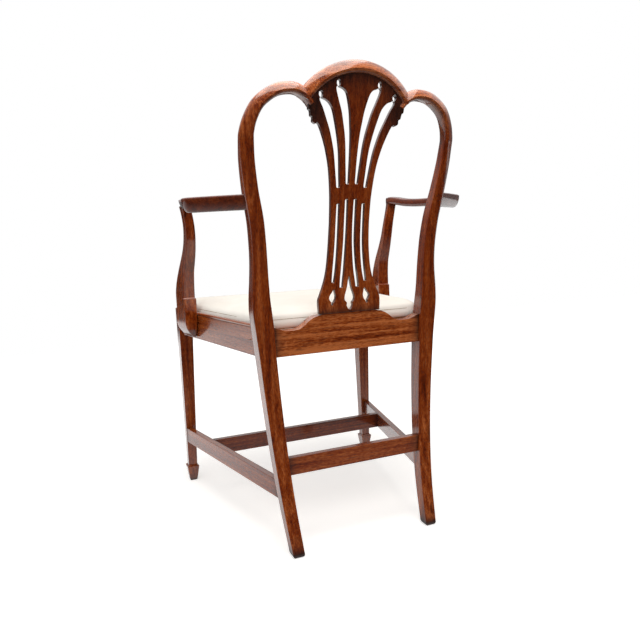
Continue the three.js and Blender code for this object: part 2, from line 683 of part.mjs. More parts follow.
function splatPiece() {
  const board = leaningPlate(splatOutline(), splat.recess, splat.recess + splat.thickness);
  const plate = board.intersect(underCrest());
  const through = splat.thickness + overrun;
  const holes = splatHoles().map((hole) => leaningPlate(new THREE.Shape(hole), -overrun, through));
  const crest = crestBlank();
  const clear = [crest, crest.translate([0, 0, -gap])];
  const shoulder = block(
    -overallHeight, overallHeight, -overallHeight, overallHeight, 0, splatBottom + gap,
  );
  const body = cutAll(plate, [...clear, shoulder, ...holes]);
  return joinAll([body, splatTongue(0), splatTenon(0)]);
}

// Arms: a ribbon that leaves the stile, turns at the crook and runs forward to the elbow
const armBackShares = [[0, 0], [0.35, 0.33], [0.7, 0.67], [0.9, 0.87], [0.975, 0.955]];
const armFrontShares = [
  [0.97, 0.01], [0.92, 0.04], [0.85, 0.082], [0.73, 0.21], [0.62, 0.318], [0.39, 0.554], [0.2, 0.77],
  [0.02, 0.963], [0, 1],
];
const armRiseShares = [
  [0, 0], [0.3, 0], [0.5, -0.08], [0.65, -0.05], [0.8, 0.25], [0.92, 0.8], [1, 1],
];
const armSectionShares = [
  [-0.5, -0.35], [-0.44, -0.06], [-0.2, 0], [0.2, 0], [0.44, -0.04], [0.5, -0.16], [0.45, -0.42],
  [0.3, -0.72], [0.08, -0.94], [-0.18, -1], [-0.4, -0.93], [-0.5, -0.68],
];

function armPath() {
  const back = armBackShares.map(([x, y]) => new THREE.Vector2(
    lerp(armStart.x, arm.crookX, x), lerp(armStart.y, arm.crookY, y),
  ));
  const front = armFrontShares.map(([x, y]) => new THREE.Vector2(
    lerp(arm.elbowX, arm.crookX, x), lerp(arm.crookY, arm.elbowY, y),
  ));
  return new THREE.SplineCurve([...back, ...front]);
}

function armBlank() {
  const curve = armPath();
  const count = 30;
  const rings = [];
  for (let k = 0; k <= count; k += 1) {
    const t = k / count;
    const centre = curve.getPointAt(t);
    const tangent = curve.getTangentAt(t);
    const normal = new THREE.Vector2(-tangent.y, tangent.x);
    const forward = THREE.MathUtils.smoothstep(t, 0.3, 0.62);
    const end = THREE.MathUtils.smoothstep(t, 0.955, 1);
    const width = lerp(arm.backWidth, arm.handWidth, forward) * (1 - 0.25 * end);
    const height = lerp(arm.backHeight, arm.handHeight, forward);
    const rise = arm.elbowRise * smooth(armRiseShares, t);
    const top = armTop + rise - arm.handHeight * 0.12 * end;
    rings.push(armSectionShares.map(([n, v]) => new THREE.Vector3(
      centre.x + normal.x * n * width, centre.y + normal.y * n * width, top + v * height,
    )));
  }
  return loft(rings);
}

function armPiece() {
  const clear = [legLeft, nudge(legLeft, gap, 0), nudge(legLeft, 0, -gap)];
  const inside = block(0, armStart.x, arm.crookY, overallHeight, 0, overallHeight);
  return cutAll(armBlank(), [...clear, inside, supportTenon(gap), screwAt(armScrew, gap)]);
}

// Arm supports: sawn to a side profile and a front profile from one block
const supportFrontShares = [
  [0, 0], [0.2, 0], [0.222, 0.02], [0.236, 0.085], [0.3, 0.085], [0.358, 0.09], [0.408, 0.145],
  [0.458, 0.258], [0.525, 0.468], [0.592, 0.718], [0.659, 0.968], [0.726, 1.161], [0.793, 1.29],
  [0.86, 1.379], [0.926, 1.419], [1, 1.42],
];
const supportBackShares = [
  [0.3145, 0.985], [0.328, 0.955], [0.358, 0.925], [0.408, 0.919], [0.458, 0.935], [0.525, 1.048],
  [0.592, 1.218], [0.659, 1.379], [0.726, 1.508], [0.793, 1.597], [0.86, 1.661], [0.926, 1.702],
  [1, 1.71],
];
const supportPadShares = [[0.02, 0.8], [0.06, 0.93], [0.12, 0.985], [0.2, 1], [0.307, 1]];
const supportOuterShares = [
  [0, 0.06], [0.03, 0.45], [0.065, 0.78], [0.105, 0.96], [0.14, 1], [0.31, 0.985], [0.358, 0.975],
  [0.408, 0.945], [0.525, 0.915], [0.659, 0.91], [0.726, 0.92], [0.793, 0.955], [0.86, 1.02],
  [0.926, 1.13], [0.967, 1.21], [1, 1.3],
];
const supportInnerShares = [
  [1, 1], [0.967, 0.84], [0.926, 0.62], [0.86, 0.3], [0.793, 0.08], [0.726, -0.06], [0.659, -0.16],
  [0.525, -0.28], [0.36, -0.3], [0.25, -0.3], [0.218, -0.28], [0.212, 0],
];

const supportRise = supportTop - support.bottom;
const padRun = support.padBack - support.padFront;

function supportBlank() {
  const at = ([v, u]) => new THREE.Vector2(
    support.padFront + padRun * u, support.bottom + supportRise * v,
  );
  const front = new THREE.SplineCurve(supportFrontShares.slice(2).map(at)).getPoints(24);
  const back = new THREE.SplineCurve(supportBackShares.map(at)).getPoints(22);
  const foot = supportFrontShares.slice(0, 2).map(at);
  const pad = supportPadShares.map(at);
  const side = new THREE.Shape([...foot, ...front, ...back.reverse(), ...pad.reverse()]);
  const sideCut = new THREE.ExtrudeGeometry(side, { depth: support.padWidth * 3, bevelEnabled: false });
  sideCut.rotateX(Math.PI / 2).rotateZ(Math.PI / 2).translate(-support.padWidth, 0, 0);
  const across = (size) => ([v, u]) => new THREE.Vector2(size * u, support.bottom + supportRise * v);
  const outer = new THREE.SplineCurve(supportOuterShares.map(across(support.padWidth))).getPoints(34);
  const inner = new THREE.SplineCurve(supportInnerShares.map(across(support.splay))).getPoints(24);
  const face = new THREE.Shape([...outer, ...inner, new THREE.Vector2(0, support.bottom)]);
  const frontCut = runBack(face, -overrun, support.padBack * 2);
  return alongSide(solid(sideCut).intersect(frontCut).translate([gap, 0, 0]));
}

const supportHead = () => {
  const along = support.padFront + padRun * 1.565;
  const centre = new THREE.Vector3(support.splay + support.width / 2, along, supportTop);
  return centre.applyMatrix4(sideMatrix);
};

function supportTenon(grow) {
  const p = supportHead();
  const half = support.tenonSide / 2 + grow;
  return block(
    p.x - half, p.x + half, p.y - half, p.y + half,
    supportTop - support.tenonHeight, supportTop + support.tenonHeight + grow,
  );
}

function supportPiece() {
  const sawn = supportBlank().subtract(armBlank().translate([0, 0, -gap]));
  return cutAll(sawn, supportScrews.map((s) => screwAt(s, gap))).add(supportTenon(0));
}

// Screws
const sidePoint = (x, y, z) => new THREE.Vector3(x, y, z).applyMatrix4(sideMatrix);
const inwardSide = new THREE.Vector3(1, 0, 0).transformDirection(sideMatrix);
const railInner = -seatRail.faceRecess - seatRail.thickness;

const armScrewHeight = armTop - arm.backHeight / 2;
const armScrewStile = stileAt((armScrewHeight - seatRail.bottom) / backRise);
const armScrew = {
  head: new THREE.Vector3(
    armScrewStile.x - armScrewStile.width * 0.545,
    backFaceAt(armTop) - backFrame.depth * 0.45,
    armScrewHeight,
  ),
  aim: new THREE.Vector3(arm.crookX - armStart.x, arm.crookY - armStart.y, 0),
  length: screwLength.arm,
};

const supportScrews = [0.3, 0.7].map((share) => ({
  head: sidePoint(
    railInner + gap / 2, lerp(support.padFront, support.padBack, share),
    seatRail.bottom + seatRail.height * 0.36,
  ),
  aim: inwardSide,
  length: screwLength.support,
}));

// Corner blocks: a triangle under each corner of the seat, screwed to both rails
function cornerBlockAt(corner, alongA, alongB) {
  const top = railTop - seat.rebateDepth - cornerBlock.drop;
  const [a, b] = [alongA, alongB].map((v) => corner.clone().addScaledVector(v, cornerBlock.leg));
  const points = THREE.ShapeUtils.isClockWise([corner, a, b]) ? [corner, b, a] : [corner, a, b];
  const blank = raised(new THREE.Shape(points), top - cornerBlock.height, top);
  const middle = a.clone().lerp(b, 1 / 2);
  const face = b.clone().sub(a).normalize();
  const screws = [-1, 1].map((sign) => {
    const spot = middle.clone().addScaledVector(face, sign * cornerBlock.leg * 0.24);
    const flat = corner.clone().sub(middle).normalize().addScaledVector(face, sign * 0.55).normalize();
    const aim = new THREE.Vector3(flat.x, flat.y, 0);
    const head = new THREE.Vector3(spot.x, spot.y, top - cornerBlock.height / 2);
    return { head: head.addScaledVector(aim, screw.sink), aim, length: screwLength.block };
  });
  return { blank, screws };
}

const sideDirection = sideRun.clone().normalize();
const innerSideAt = (y) => {
  const p = sidePoint(railInner - gap, 0, 0);
  return p.x + (y - p.y) * sideDirection.x / sideDirection.y;
};
const frontInner = -frontLeg.frontFace - railInner + gap;
const backRailFront = backLeg.backFace - backRail.recess - seatRail.thickness - backRail.ledge;
const backInner = backRailFront - gap;
const frontCorner = new THREE.Vector2(innerSideAt(frontInner), frontInner);
const backCorner = new THREE.Vector2(innerSideAt(backInner), backInner);
const inX = new THREE.Vector2(-1, 0);
const frontBlock = cornerBlockAt(frontCorner, sideDirection, inX);
const backBlock = cornerBlockAt(backCorner, inX, sideDirection.clone().negate());

// The drop-in seat
function seatPlan(inset) {
  const clear = seat.play + inset;
  const frontY = -frontLeg.frontFace + seatRail.faceRecess + seatRail.thickness - seat.rebateWidth + clear;
  const backY = backLeg.backFace - backLeg.railSide - clear;
  const rebate = railInner + seat.rebateWidth;
  const edge = (y) => {
    const p = sidePoint(rebate - clear, 0, 0);
    return p.x + (y - p.y) * sideDirection.x / sideDirection.y;
  };
  return { frontY, backY, frontHalf: edge(frontY), backHalf: edge(backY) };
}

function seatWell(inset) {
  const { frontY, backY, frontHalf, backHalf } = seatPlan(inset - seat.play);
  const plan = outline([[-frontHalf, frontY], [frontHalf, frontY], [backHalf, backY], [-backHalf, backY]]);
  return raised(plan, railTop - seat.rebateDepth, overallHeight);
}

// The plan of the cushion: rounded corners and sides that pull in between them
function padRing(inset, z, drawIn, perSide = 10) {
  const { frontY, backY, frontHalf, backHalf } = seatPlan(inset);
  const corners = [[frontHalf, frontY], [backHalf, backY], [-backHalf, backY], [-frontHalf, frontY]]
    .map(([x, y]) => new THREE.Vector2(x, y));
  const radius = Math.max(seat.cornerRadius - inset * 0.3, seat.cornerRadius * 0.4);
  const ring = [];
  corners.forEach((corner, k) => {
    const before = corners[(k + 3) % 4].clone().sub(corner).normalize();
    const next = corners[(k + 1) % 4];
    const after = next.clone().sub(corner).normalize();
    for (const u of [0, 0.5, 1]) {
      const a = corner.clone().addScaledVector(before, radius);
      const b = corner.clone().addScaledVector(after, radius);
      const p = a.lerp(corner, u).lerp(corner.clone().lerp(b, u), u);
      ring.push(new THREE.Vector3(p.x, p.y, z));
    }
    const start = corner.clone().addScaledVector(after, radius);
    const end = next.clone().addScaledVector(after, -radius);
    const inward = new THREE.Vector2(-after.y, after.x);
    if (inward.dot(corner) > 0) inward.negate();
    for (let s = 1; s < perSide; s += 1) {
      const share = s / perSide;
      const p = start.clone().lerp(end, share).addScaledVector(inward, drawIn * Math.sin(Math.PI * share));
      ring.push(new THREE.Vector3(p.x, p.y, z));
    }
  });
  return ring;
}

const seatBase = railTop - seat.rebateDepth + gap;
const padBase = seatBase + seat.frameHeight + 2 * seat.webThickness + seat.clothThickness + 4 * gap;

function padPlan(inset) {
  return outline(padRing(inset, 0, 0).map((p) => [p.x, p.y]));
}

// Crowned form: rows are [height share, inset share, pull-in share]
const crownShares = [
  [0, 0.002, 0], [0.16, 0, 0.4], [0.34, 0.008, 0.8], [0.5, 0.035, 1], [0.65, 0.09, 1],
  [0.78, 0.19, 0.8], [0.88, 0.34, 0.5], [0.95, 0.52, 0.3], [0.99, 0.74, 0.1], [1, 0.92, 0],
];

function crowned(skin, bottom) {
  const { frontY, backY } = seatPlan(0);
  const reach = (backY - frontY) / 2;
  const top = railTop + seat.crown + skin;
  const rows = crownShares.map(([h, i, d]) => padRing(
    seat.coverThickness - skin + reach * i * 0.98, lerp(padBase + gap * 4, top, h), seat.drawIn * d,
  ));
  const foot = padRing(seat.coverThickness - skin + seat.play, bottom, 0);
  return loft([foot, ...rows]);
}

function seatStuffing() {
  return crowned(-gap, padBase);
}

function seatCover() {
  const outer = crowned(seat.coverThickness, seatBase + gap);
  const inner = crowned(0, seatBase - overrun);
  return outer.subtract(inner);
}

function seatRails() {
  const inset = seat.coverThickness + gap + seat.play + seat.play;
  const outerPlan = seatPlan(inset);
  const innerPlan = seatPlan(inset + seat.frameWidth);
  const [bottom, top] = [seatBase, seatBase + seat.frameHeight];
  const rail = (points) => raised(outline(points), bottom, top);
  const front = rail([
    [-outerPlan.frontHalf, outerPlan.frontY], [outerPlan.frontHalf, outerPlan.frontY],
    [innerPlan.frontHalf + seat.frameWidth, innerPlan.frontY - gap],
    [-innerPlan.frontHalf - seat.frameWidth, innerPlan.frontY - gap],
  ]);
  const back = rail([
    [-innerPlan.backHalf - seat.frameWidth, innerPlan.backY + gap],
    [innerPlan.backHalf + seat.frameWidth, innerPlan.backY + gap],
    [outerPlan.backHalf, outerPlan.backY], [-outerPlan.backHalf, outerPlan.backY],
  ]);
  const trim = raised(padPlan(inset), bottom, top);
  const side = rail([
    [innerPlan.frontHalf, innerPlan.frontY], [outerPlan.frontHalf, innerPlan.frontY],
    [outerPlan.frontHalf, innerPlan.backY], [innerPlan.backHalf, innerPlan.backY],
  ]).intersect(trim);
  return { front: front.intersect(trim), back: back.intersect(trim), left: side, right: mirrored(side) };
}

function webbing(index, across) {
  const plan = seatPlan(seat.coverThickness + seat.frameWidth * 0.25);
  const [z, half] = [seatBase + seat.frameHeight + gap, seat.webWidth / 2];
  const spread = seat.webWidth * 2.1;
  if (across) {
    const y = lerp(plan.frontY, plan.backY, 0.5) + (index - 1) * spread;
    const share = (y - plan.frontY) / (plan.backY - plan.frontY);
    const reach = lerp(plan.frontHalf, plan.backHalf, share) - half * 0.2;
    const level = z + seat.webThickness + gap;
    return block(-reach, reach, y - half, y + half, level, level + seat.webThickness);
  }
  const x = (index - 1) * spread;
  return block(x - half, x + half, plan.frontY, plan.backY, z, z + seat.webThickness);
}

function clothSheet(inset, z) {
  return raised(padPlan(inset), z, z + seat.clothThickness);
}

// Colours and finishes
const finishes = {
  mahogany: { color: 0x7a3a1e, roughness: 0.3, metalness: 0 },
  beech: { color: 0xc49a6c, roughness: 0.7, metalness: 0 },
  brass: { color: 0xb08d57, roughness: 0.4, metalness: 1 },
  cream: { color: 0xf0e8da, roughness: 0.9, metalness: 0 },
  jute: { color: 0xa58a5f, roughness: 0.95, metalness: 0 },
  cotton: { color: 0xe9e4d8, roughness: 0.95, metalness: 0 },
};

const chair = new THREE.Group();
function add(name, shape, finish) {
  const mesh = new THREE.Mesh(geometryOf(shape), new THREE.MeshStandardMaterial(finishes[finish]));
  mesh.name = name;
  chair.add(mesh);
}

function addPair(name, shape, finish) {
  add(`${name}_left`, shape, finish);
  add(`${name}_right`, mirrored(shape), finish);
}

// Assembly
const holesFor = (screws) => screws.map((s) => screwAt(s, gap));
const bothSides = (shapes) => [...shapes, ...shapes.map(mirrored)];

const legJoints = [
  backRailTenons(gap), sideRailTenons(gap), sideStretcherTenons(gap), backStretcherTenons(gap),
];
addPair('back_leg', cutAll(legLeft.add(stileTenon(0)), [...legJoints, screwAt(armScrew, gap)]), 'mahogany');
add('crest_rail', crestRail(), 'mahogany');
add('splat', splatPiece(), 'mahogany');
add('back_seat_rail', cutAll(backSeatRail(), bothSides(holesFor(backBlock.screws))), 'mahogany');
const frontJoints = [sideRailTenons(gap), frontRailTenons(gap), sideStretcherTenons(gap), seatWell(0)];
addPair('front_leg', cutAll(frontLeft, frontJoints), 'mahogany');
const sideScrews = [...supportScrews, ...frontBlock.screws, ...backBlock.screws];
addPair('side_seat_rail', cutAll(sideRail(), holesFor(sideScrews)), 'mahogany');
add('front_seat_rail', cutAll(frontRail(), bothSides(holesFor(frontBlock.screws))), 'mahogany');
addPair('arm', armPiece(), 'mahogany');
addPair('arm_support', supportPiece(), 'mahogany');
addPair('side_stretcher', sideStretcherPiece(), 'mahogany');
add('middle_stretcher', middlePiece(), 'mahogany');
add('back_stretcher', backStretcherPiece(), 'mahogany');
const legClearances = [
  legLeft, nudge(legLeft, -gap, -gap), frontLeft, nudge(frontLeft, -gap, gap),
];
for (const [place, made] of [['front', frontBlock], ['back', backBlock]]) {
  const cutters = [...legClearances, ...holesFor(made.screws)];
  addPair(`${place}_corner_block`, cutAll(made.blank, cutters), 'beech');
  made.screws.forEach((s, k) => addPair(`${place}_block_screw_${k + 1}`, screwAt(s, 0), 'brass'));
}
supportScrews.forEach((s, k) => addPair(`support_screw_${k + 1}`, screwAt(s, 0), 'brass'));
addPair('arm_screw', screwAt(armScrew, 0), 'brass');

const rails = seatRails();
for (const side of ['front', 'back', 'left', 'right']) add(`seat_frame_${side}`, rails[side], 'beech');
for (const index of [0, 1, 2]) {
  add(`webbing_lengthwise_${index + 1}`, webbing(index, false), 'jute');
  add(`webbing_crosswise_${index + 1}`, webbing(index, true), 'jute');
}
add('seat_hessian', clothSheet(
  seat.coverThickness + seat.play + gap * 2,
  seatBase + seat.frameHeight + 2 * seat.webThickness + 3 * gap,
), 'jute');
add('seat_stuffing', seatStuffing(), 'cotton');
add('seat_cover', seatCover(), 'cream');

export default chair;
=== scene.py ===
"""A mahogany carver armchair with a hooped crest, a pierced fan splat and a drop-in seat.

Sizes are in millimetres until a mesh is made. The chair faces -Y and its left arm is at +X.
"""

import math
from types import SimpleNamespace as Sizes

import bmesh
import bpy
import numpy as np
from mathutils import Matrix, Vector
from mathutils.geometry import delaunay_2d_cdt


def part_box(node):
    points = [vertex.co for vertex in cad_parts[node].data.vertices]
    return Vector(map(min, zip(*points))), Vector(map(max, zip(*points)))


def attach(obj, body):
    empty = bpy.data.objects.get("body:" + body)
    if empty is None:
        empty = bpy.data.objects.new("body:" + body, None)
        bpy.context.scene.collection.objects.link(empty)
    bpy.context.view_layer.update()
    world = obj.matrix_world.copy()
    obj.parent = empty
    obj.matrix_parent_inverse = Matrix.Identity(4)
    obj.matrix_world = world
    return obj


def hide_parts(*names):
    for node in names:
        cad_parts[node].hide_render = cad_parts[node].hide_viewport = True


MM = 0.001
HEIGHT = 950
GAP = 0.3
HAIR = 0.05
EMBED = 5
BEECH_EDGE = 0.9
RAIL = Sizes(bottom=400, height=63, drop=2, thickness=24, bead=4, step=1.5, recess=0.6, side_set_in=5)
FRONT_LEG = Sizes(
    outer=271.5, front=282.3, top=36, ankle=22.5, ankle_height=46, foot=30.5, foot_height=41,
    sole=18, arris=1.6, toe_in=2,
)
BACK_LEG = Sizes(
    foot_outer=165.5, rail_outer=198, foot=24.5, rail=34.5, back=200.2, rake=53, joint=808, worn=7,
)
BACK = Sizes(half_span=213.7, lean=87, depth=26)
ARCH = Sizes(radius=143.5, band=24.5, half_angle=math.radians(56), depth=27)
# Apart from matched, the crest's sizes place and weigh the painted shade on the inner sides of the hoops.
CREST = Sizes(hoop=(140, 815), reach=75, matched=868, soot=0.5, fade=3, soot_from=6, soot_over=6)
# The splat's sizes from shadow on place and weigh the painted shadow under the arch and the painted shade
# in its holes.
SPLAT = Sizes(
    thickness=10, recess=5, half_base=69, bottom=476, top=930, edge=1.3, strip=7,
    shadow=26, notch=(96, 862), arch_soot=0.9, notch_soot=0.95, wall_soot=0.65,
)
BACK_RAIL = Sizes(recess=5.5, shoe=76, ledge=12)
SIDE_STRETCHER = Sizes(bottom=109, height=37.5, thickness=15, recess=1)
MIDDLE_STRETCHER = Sizes(back=-120.8)
BACK_STRETCHER = Sizes(bottom=156, height=36.5, recess=5.5)
ARM = Sizes(
    top=714.5, rise=12.5, back_height=29, hand_height=19, back_width=20, hand_width=25,
    stile=(203.9, 213.2), crook=(307, 129), elbow=(266, -103.7), screw_depth=5,
)
SUPPORT = Sizes(pad_width=25, front=55, back=117, bottom=403, top=711, splay=10.5, round=2.4)
SUPPORT_RISE = 305.5
SEAT = Sizes(
    rebate_depth=15, rebate_width=12, play=1.2, frame_height=17, web=1.1, cloth=0.8, cover=1.3,
    crown=30, draw_in=4, corner=14, swell=3, remesh=5,
)
WEBBING = Sizes(spacing=105, wave=0.7, steps=70)
GRIME = Sizes(reach=4.5, cuts=(1, 2, 3.5, 5.5, 8, 12), handled=0.35)
GRAIN = Sizes(quarter=(0.13, 0.99, 0.05), board_step=(0.317, 0.183, 1.71))
VIEW = Sizes(
    place=(0.545, 1.3353, 0.631), yaw=22.76, pitch=-8.16, roll=-2.2,
    lens=34.785, shift=(-0.0002, 0.0087),
)
RAIL_TOP = RAIL.bottom + RAIL.height
RAIL_BASE = RAIL.bottom - RAIL.drop
BACK_RISE = HEIGHT - RAIL.bottom
LEG_BACK_FRONT = FRONT_LEG.top - FRONT_LEG.front
STRETCHER_MIDDLE = SIDE_STRETCHER.bottom + SIDE_STRETCHER.height / 2

# Tables of shares: heights run from the foot of the back to its top
RAKE = [(0, 1), (0.24, 0.5), (0.4875, 0.19), (0.75, 0.04), (1, 0)]
LEAN = [
    (-1, 0), (0, 0), (0.136, 0.029), (0.281, 0.046), (0.341, 0.072), (0.402, 0.115), (0.476, 0.19),
    (0.567, 0.299), (0.6775, 0.454), (0.7645, 0.592), (0.884, 0.799), (1, 1), (1.02, 1.035),
]
STILE = [
    (0, 0.8458, 1, 1, 0), (0.0996, 0.8648, 1.1, 0.97, 0.1), (0.159, 0.8797, 1.13, 0.93, 0.2),
    (0.21, 0.8863, 1.07, 0.88, 0.3), (0.281, 0.884, 0.942, 0.83, 0.35), (0.341, 0.8844, 0.87, 0.8, 0.35),
    (0.402, 0.891, 0.84, 0.79, 0.35), (0.476, 0.9088, 0.829, 0.78, 0.4), (0.522, 0.9289, 0.826, 0.78, 0.45),
    (0.582, 0.9588, 0.81, 0.77, 0.6), (0.6775, 0.9916, 0.79, 0.76, 0.85), (0.74, 1, 0.767, 0.754, 1),
]
HOOP = [
    (1, 0.7418, 0.767), (0.998, 0.764, 0.75), (0.9724, 0.8036, 0.71), (0.9158, 0.8464, 0.68),
    (0.8334, 0.8756, 0.655), (0.737, 0.8955, 0.625), (0.6327, 0.9025, 0.605), (0.556, 0.899, 0.59),
    (0.478, 0.884, 0.55), (0.425, 0.858, 0.47),
]
SQUARE = [
    (-0.5, 0.5), (-0.5, 0.04), (-0.46, 0), (-0.15, 0), (0.15, 0), (0.46, 0), (0.5, 0.04), (0.5, 0.5),
    (0.5, 0.96), (0.46, 1), (0.2, 1), (-0.2, 1), (-0.46, 1), (-0.5, 0.96),
]
MOULDED = [
    (-0.5, 0.5), (-0.485, 0.22), (-0.4, 0.06), (-0.23, 0), (-0.17, 0.01), (0.13, 0.2), (0.4, 0.43),
    (0.5, 0.6), (0.48, 0.84), (0.36, 1), (0.17, 0.93), (-0.17, 0.93), (-0.36, 1), (-0.47, 0.84),
]
SQUARE_CORNERS = {1: (-0.5, 0), 5: (0.5, 0), 8: (0.5, 1), 12: (-0.5, 1)}
BEAD = [(1, 2), (1.7, 1.8), (0.6, 1.5), (0, 0.8), (1, 0.15), (2.4, 0)]
SHOE = [
    (1.1, 0.79), (1, 0.763), (0.885, 0.665), (0.78, 0.645), (0.69, 0.665), (0.62, 0.74), (0.555, 0.85),
    (0.49, 0.93), (0.42, 0.975),
]
HALF_SPLAT = [
    (0.995, 0), (1.005, 0.057), (0.942, 0.086), (0.852, 0.12), (0.757, 0.164), (0.691, 0.216),
    (0.643, 0.297), (0.623, 0.377), (0.622, 0.42), (0.643, 0.515), (0.719, 0.619), (0.836, 0.694),
    (0.961, 0.747), (1.094, 0.79), (1.17, 0.802),
]
EAR = [
    (1.21, 0.796), (1.3, 0.804), (1.31, 0.82), (1.365, 0.826), (1.39, 0.844), (1.44, 0.852),
    (1.445, 0.876),
]
# Each slot is a row of (height share, inner edge share, outer edge share); the fan's slots end in a keyhole
OUTER_SLOT = [
    (0.5455, 0.405, 0.45), (0.5485, 0.38, 0.475), (0.556, 0.374, 0.486), (0.576, 0.385, 0.501),
    (0.6, 0.398, 0.526), (0.655, 0.426, 0.579), (0.695, 0.455, 0.627), (0.735, 0.504, 0.699),
    (0.774, 0.566, 0.782), (0.814, 0.641, 0.897), (0.854, 0.73, 1.016), (0.876, 0.835, 1.1),
    (0.887, 0.94, 1.133), (0.8915, 1.03, 1.13), (0.8945, 1.068, 1.115), (0.898, 1.058, 1.145),
    (0.903, 1.047, 1.162), (0.9085, 1.046, 1.165), (0.914, 1.055, 1.155), (0.9185, 1.082, 1.128),
    (0.9192, 1.095, 1.115),
]
INNER_SLOT = [
    (0.5605, 0.12, 0.165), (0.5635, 0.1, 0.187), (0.571, 0.092, 0.196), (0.6, 0.096, 0.21),
    (0.652, 0.101, 0.242), (0.691, 0.109, 0.263), (0.729, 0.121, 0.291), (0.768, 0.141, 0.336),
    (0.807, 0.174, 0.398), (0.846, 0.212, 0.467), (0.884, 0.274, 0.566), (0.915, 0.345, 0.643),
    (0.928, 0.42, 0.668), (0.934, 0.5, 0.672), (0.9375, 0.575, 0.655), (0.94, 0.588, 0.64),
    (0.943, 0.572, 0.655), (0.948, 0.556, 0.67), (0.9535, 0.556, 0.67), (0.959, 0.568, 0.658),
    (0.963, 0.592, 0.633), (0.9636, 0.605, 0.62),
]
OUTER_LOW = [
    (0.4795, 0.375, 0.425), (0.4765, 0.358, 0.441), (0.469, 0.352, 0.446), (0.45, 0.35, 0.448),
    (0.386, 0.35, 0.454), (0.321, 0.357, 0.462), (0.255, 0.378, 0.49), (0.19, 0.42, 0.533),
    (0.155, 0.46, 0.556), (0.141, 0.48, 0.562), (0.1375, 0.5, 0.55),
]
INNER_LOW = [
    (0.4985, 0.115, 0.16), (0.4955, 0.097, 0.177), (0.487, 0.09, 0.183), (0.453, 0.085, 0.184),
    (0.388, 0.081, 0.187), (0.322, 0.09, 0.192), (0.257, 0.112, 0.22), (0.19, 0.147, 0.262),
    (0.158, 0.175, 0.288), (0.13, 0.2, 0.305), (0.1165, 0.21, 0.31), (0.113, 0.23, 0.295),
]
TEARDROP = [
    (0, 0.163), (0.075, 0.112), (0.155, 0.074), (0.152, 0.056), (0.09, 0.044), (0.098, 0.032),
    (0.055, 0.018), (0, 0.013),
]
HUSK = [
    (0.495, 0.106), (0.58, 0.092), (0.655, 0.074), (0.64, 0.06), (0.59, 0.05), (0.6, 0.042),
    (0.56, 0.036), (0.525, 0.047), (0.475, 0.058), (0.445, 0.074), (0.46, 0.088),
]
ARM_BACK = [(0, 0), (0.35, 0.33), (0.7, 0.67), (0.9, 0.87), (0.975, 0.955)]
ARM_FRONT = [
    (0.97, 0.01), (0.92, 0.04), (0.85, 0.082), (0.73, 0.21), (0.62, 0.318), (0.39, 0.554), (0.2, 0.77),
    (0.02, 0.963), (0, 1),
]
ARM_RISE = [(0, 0), (0.3, 0), (0.5, -0.08), (0.65, -0.05), (0.8, 0.25), (0.92, 0.8), (1, 1)]
ARM_SECTION = [
    (-0.5, -0.35), (-0.44, -0.06), (-0.2, 0), (0.2, 0), (0.44, -0.04), (0.5, -0.16), (0.45, -0.42),
    (0.3, -0.72), (0.08, -0.94), (-0.18, -1), (-0.4, -0.93), (-0.5, -0.68),
]
SUPPORT_FRONT = [
    (0.222, 0.02), (0.236, 0.085), (0.3, 0.085), (0.358, 0.09), (0.408, 0.145), (0.458, 0.258),
    (0.525, 0.468), (0.592, 0.718), (0.659, 0.968), (0.726, 1.161), (0.793, 1.29), (0.86, 1.379),
    (0.926, 1.419), (1, 1.42),
]
SUPPORT_BACK = [
    (0.3085, 0.915), (0.316, 0.88), (0.33, 0.88), (0.38, 0.9), (0.43, 0.935), (0.48, 0.985), (0.525, 1.048),
    (0.592, 1.218), (0.659, 1.379), (0.726, 1.508), (0.793, 1.597), (0.86, 1.661), (0.926, 1.702),
    (1, 1.71),
]
SUPPORT_FOOT = [(0, 0), (0.2, 0)]
SUPPORT_STEPS = [
    0.2, 0.206, 0.212, 0.215, 0.218, 0.222, 0.229, 0.236, 0.3, 0.306, 0.307, 0.3085, 0.312, 0.316, 0.323,
]
SUPPORT_PAD = [(0, 0.74), (0.02, 0.8), (0.06, 0.93), (0.12, 0.985), (0.2, 1), (0.307, 1)]
SUPPORT_OUTER = [
    (0, 0.06), (0.03, 0.45), (0.065, 0.78), (0.105, 0.96), (0.14, 1), (0.31, 0.985), (0.358, 0.975),
    (0.408, 0.945), (0.525, 0.915), (0.659, 0.91), (0.726, 0.92), (0.793, 0.955), (0.86, 1.02),
    (0.926, 1.13), (0.967, 1.21), (1, 1.3),
]
SUPPORT_INNER = [
    (0, -0.48), (0.212, -0.48), (0.25, -0.52), (0.36, -0.52), (0.525, -0.4), (0.659, -0.2),
    (0.726, -0.06), (0.793, 0.08), (0.86, 0.3), (0.926, 0.62), (0.967, 0.84), (1, 1),
]
CROWN = [
    (0, 0.002, 0), (0.16, 0, 0.4), (0.34, 0.008, 0.8), (0.5, 0.035, 1), (0.65, 0.09, 1),
    (0.78, 0.19, 0.8), (0.88, 0.34, 0.5), (0.95, 0.52, 0.3), (0.99, 0.74, 0.1), (1, 0.92, 0),
]


# Small maths
def lerp(a, b, t):
    return a + (b - a) * t


def smooth_step(t, low, high):
    u = min(max((t - low) / (high - low), 0), 1)
    return u * u * (3 - 2 * u)


def smooth(table, t, column=1):
    """A smooth value at t from rows that start with their place."""
    i = 0
    while i < len(table) - 2 and t > table[i + 1][0]:
        i += 1

    def slope(k):
        a, b = table[max(k - 1, 0)], table[min(k + 1, len(table) - 1)]
        return (b[column] - a[column]) / (b[0] - a[0])

    a, b = table[i], table[i + 1]
    span = b[0] - a[0]
    u = (t - a[0]) / span
    turn = span * u * (1 - u) * (slope(i) * (1 - u) - slope(i + 1) * u)
    return lerp(a[column], b[column], u * u * (3 - 2 * u)) + turn


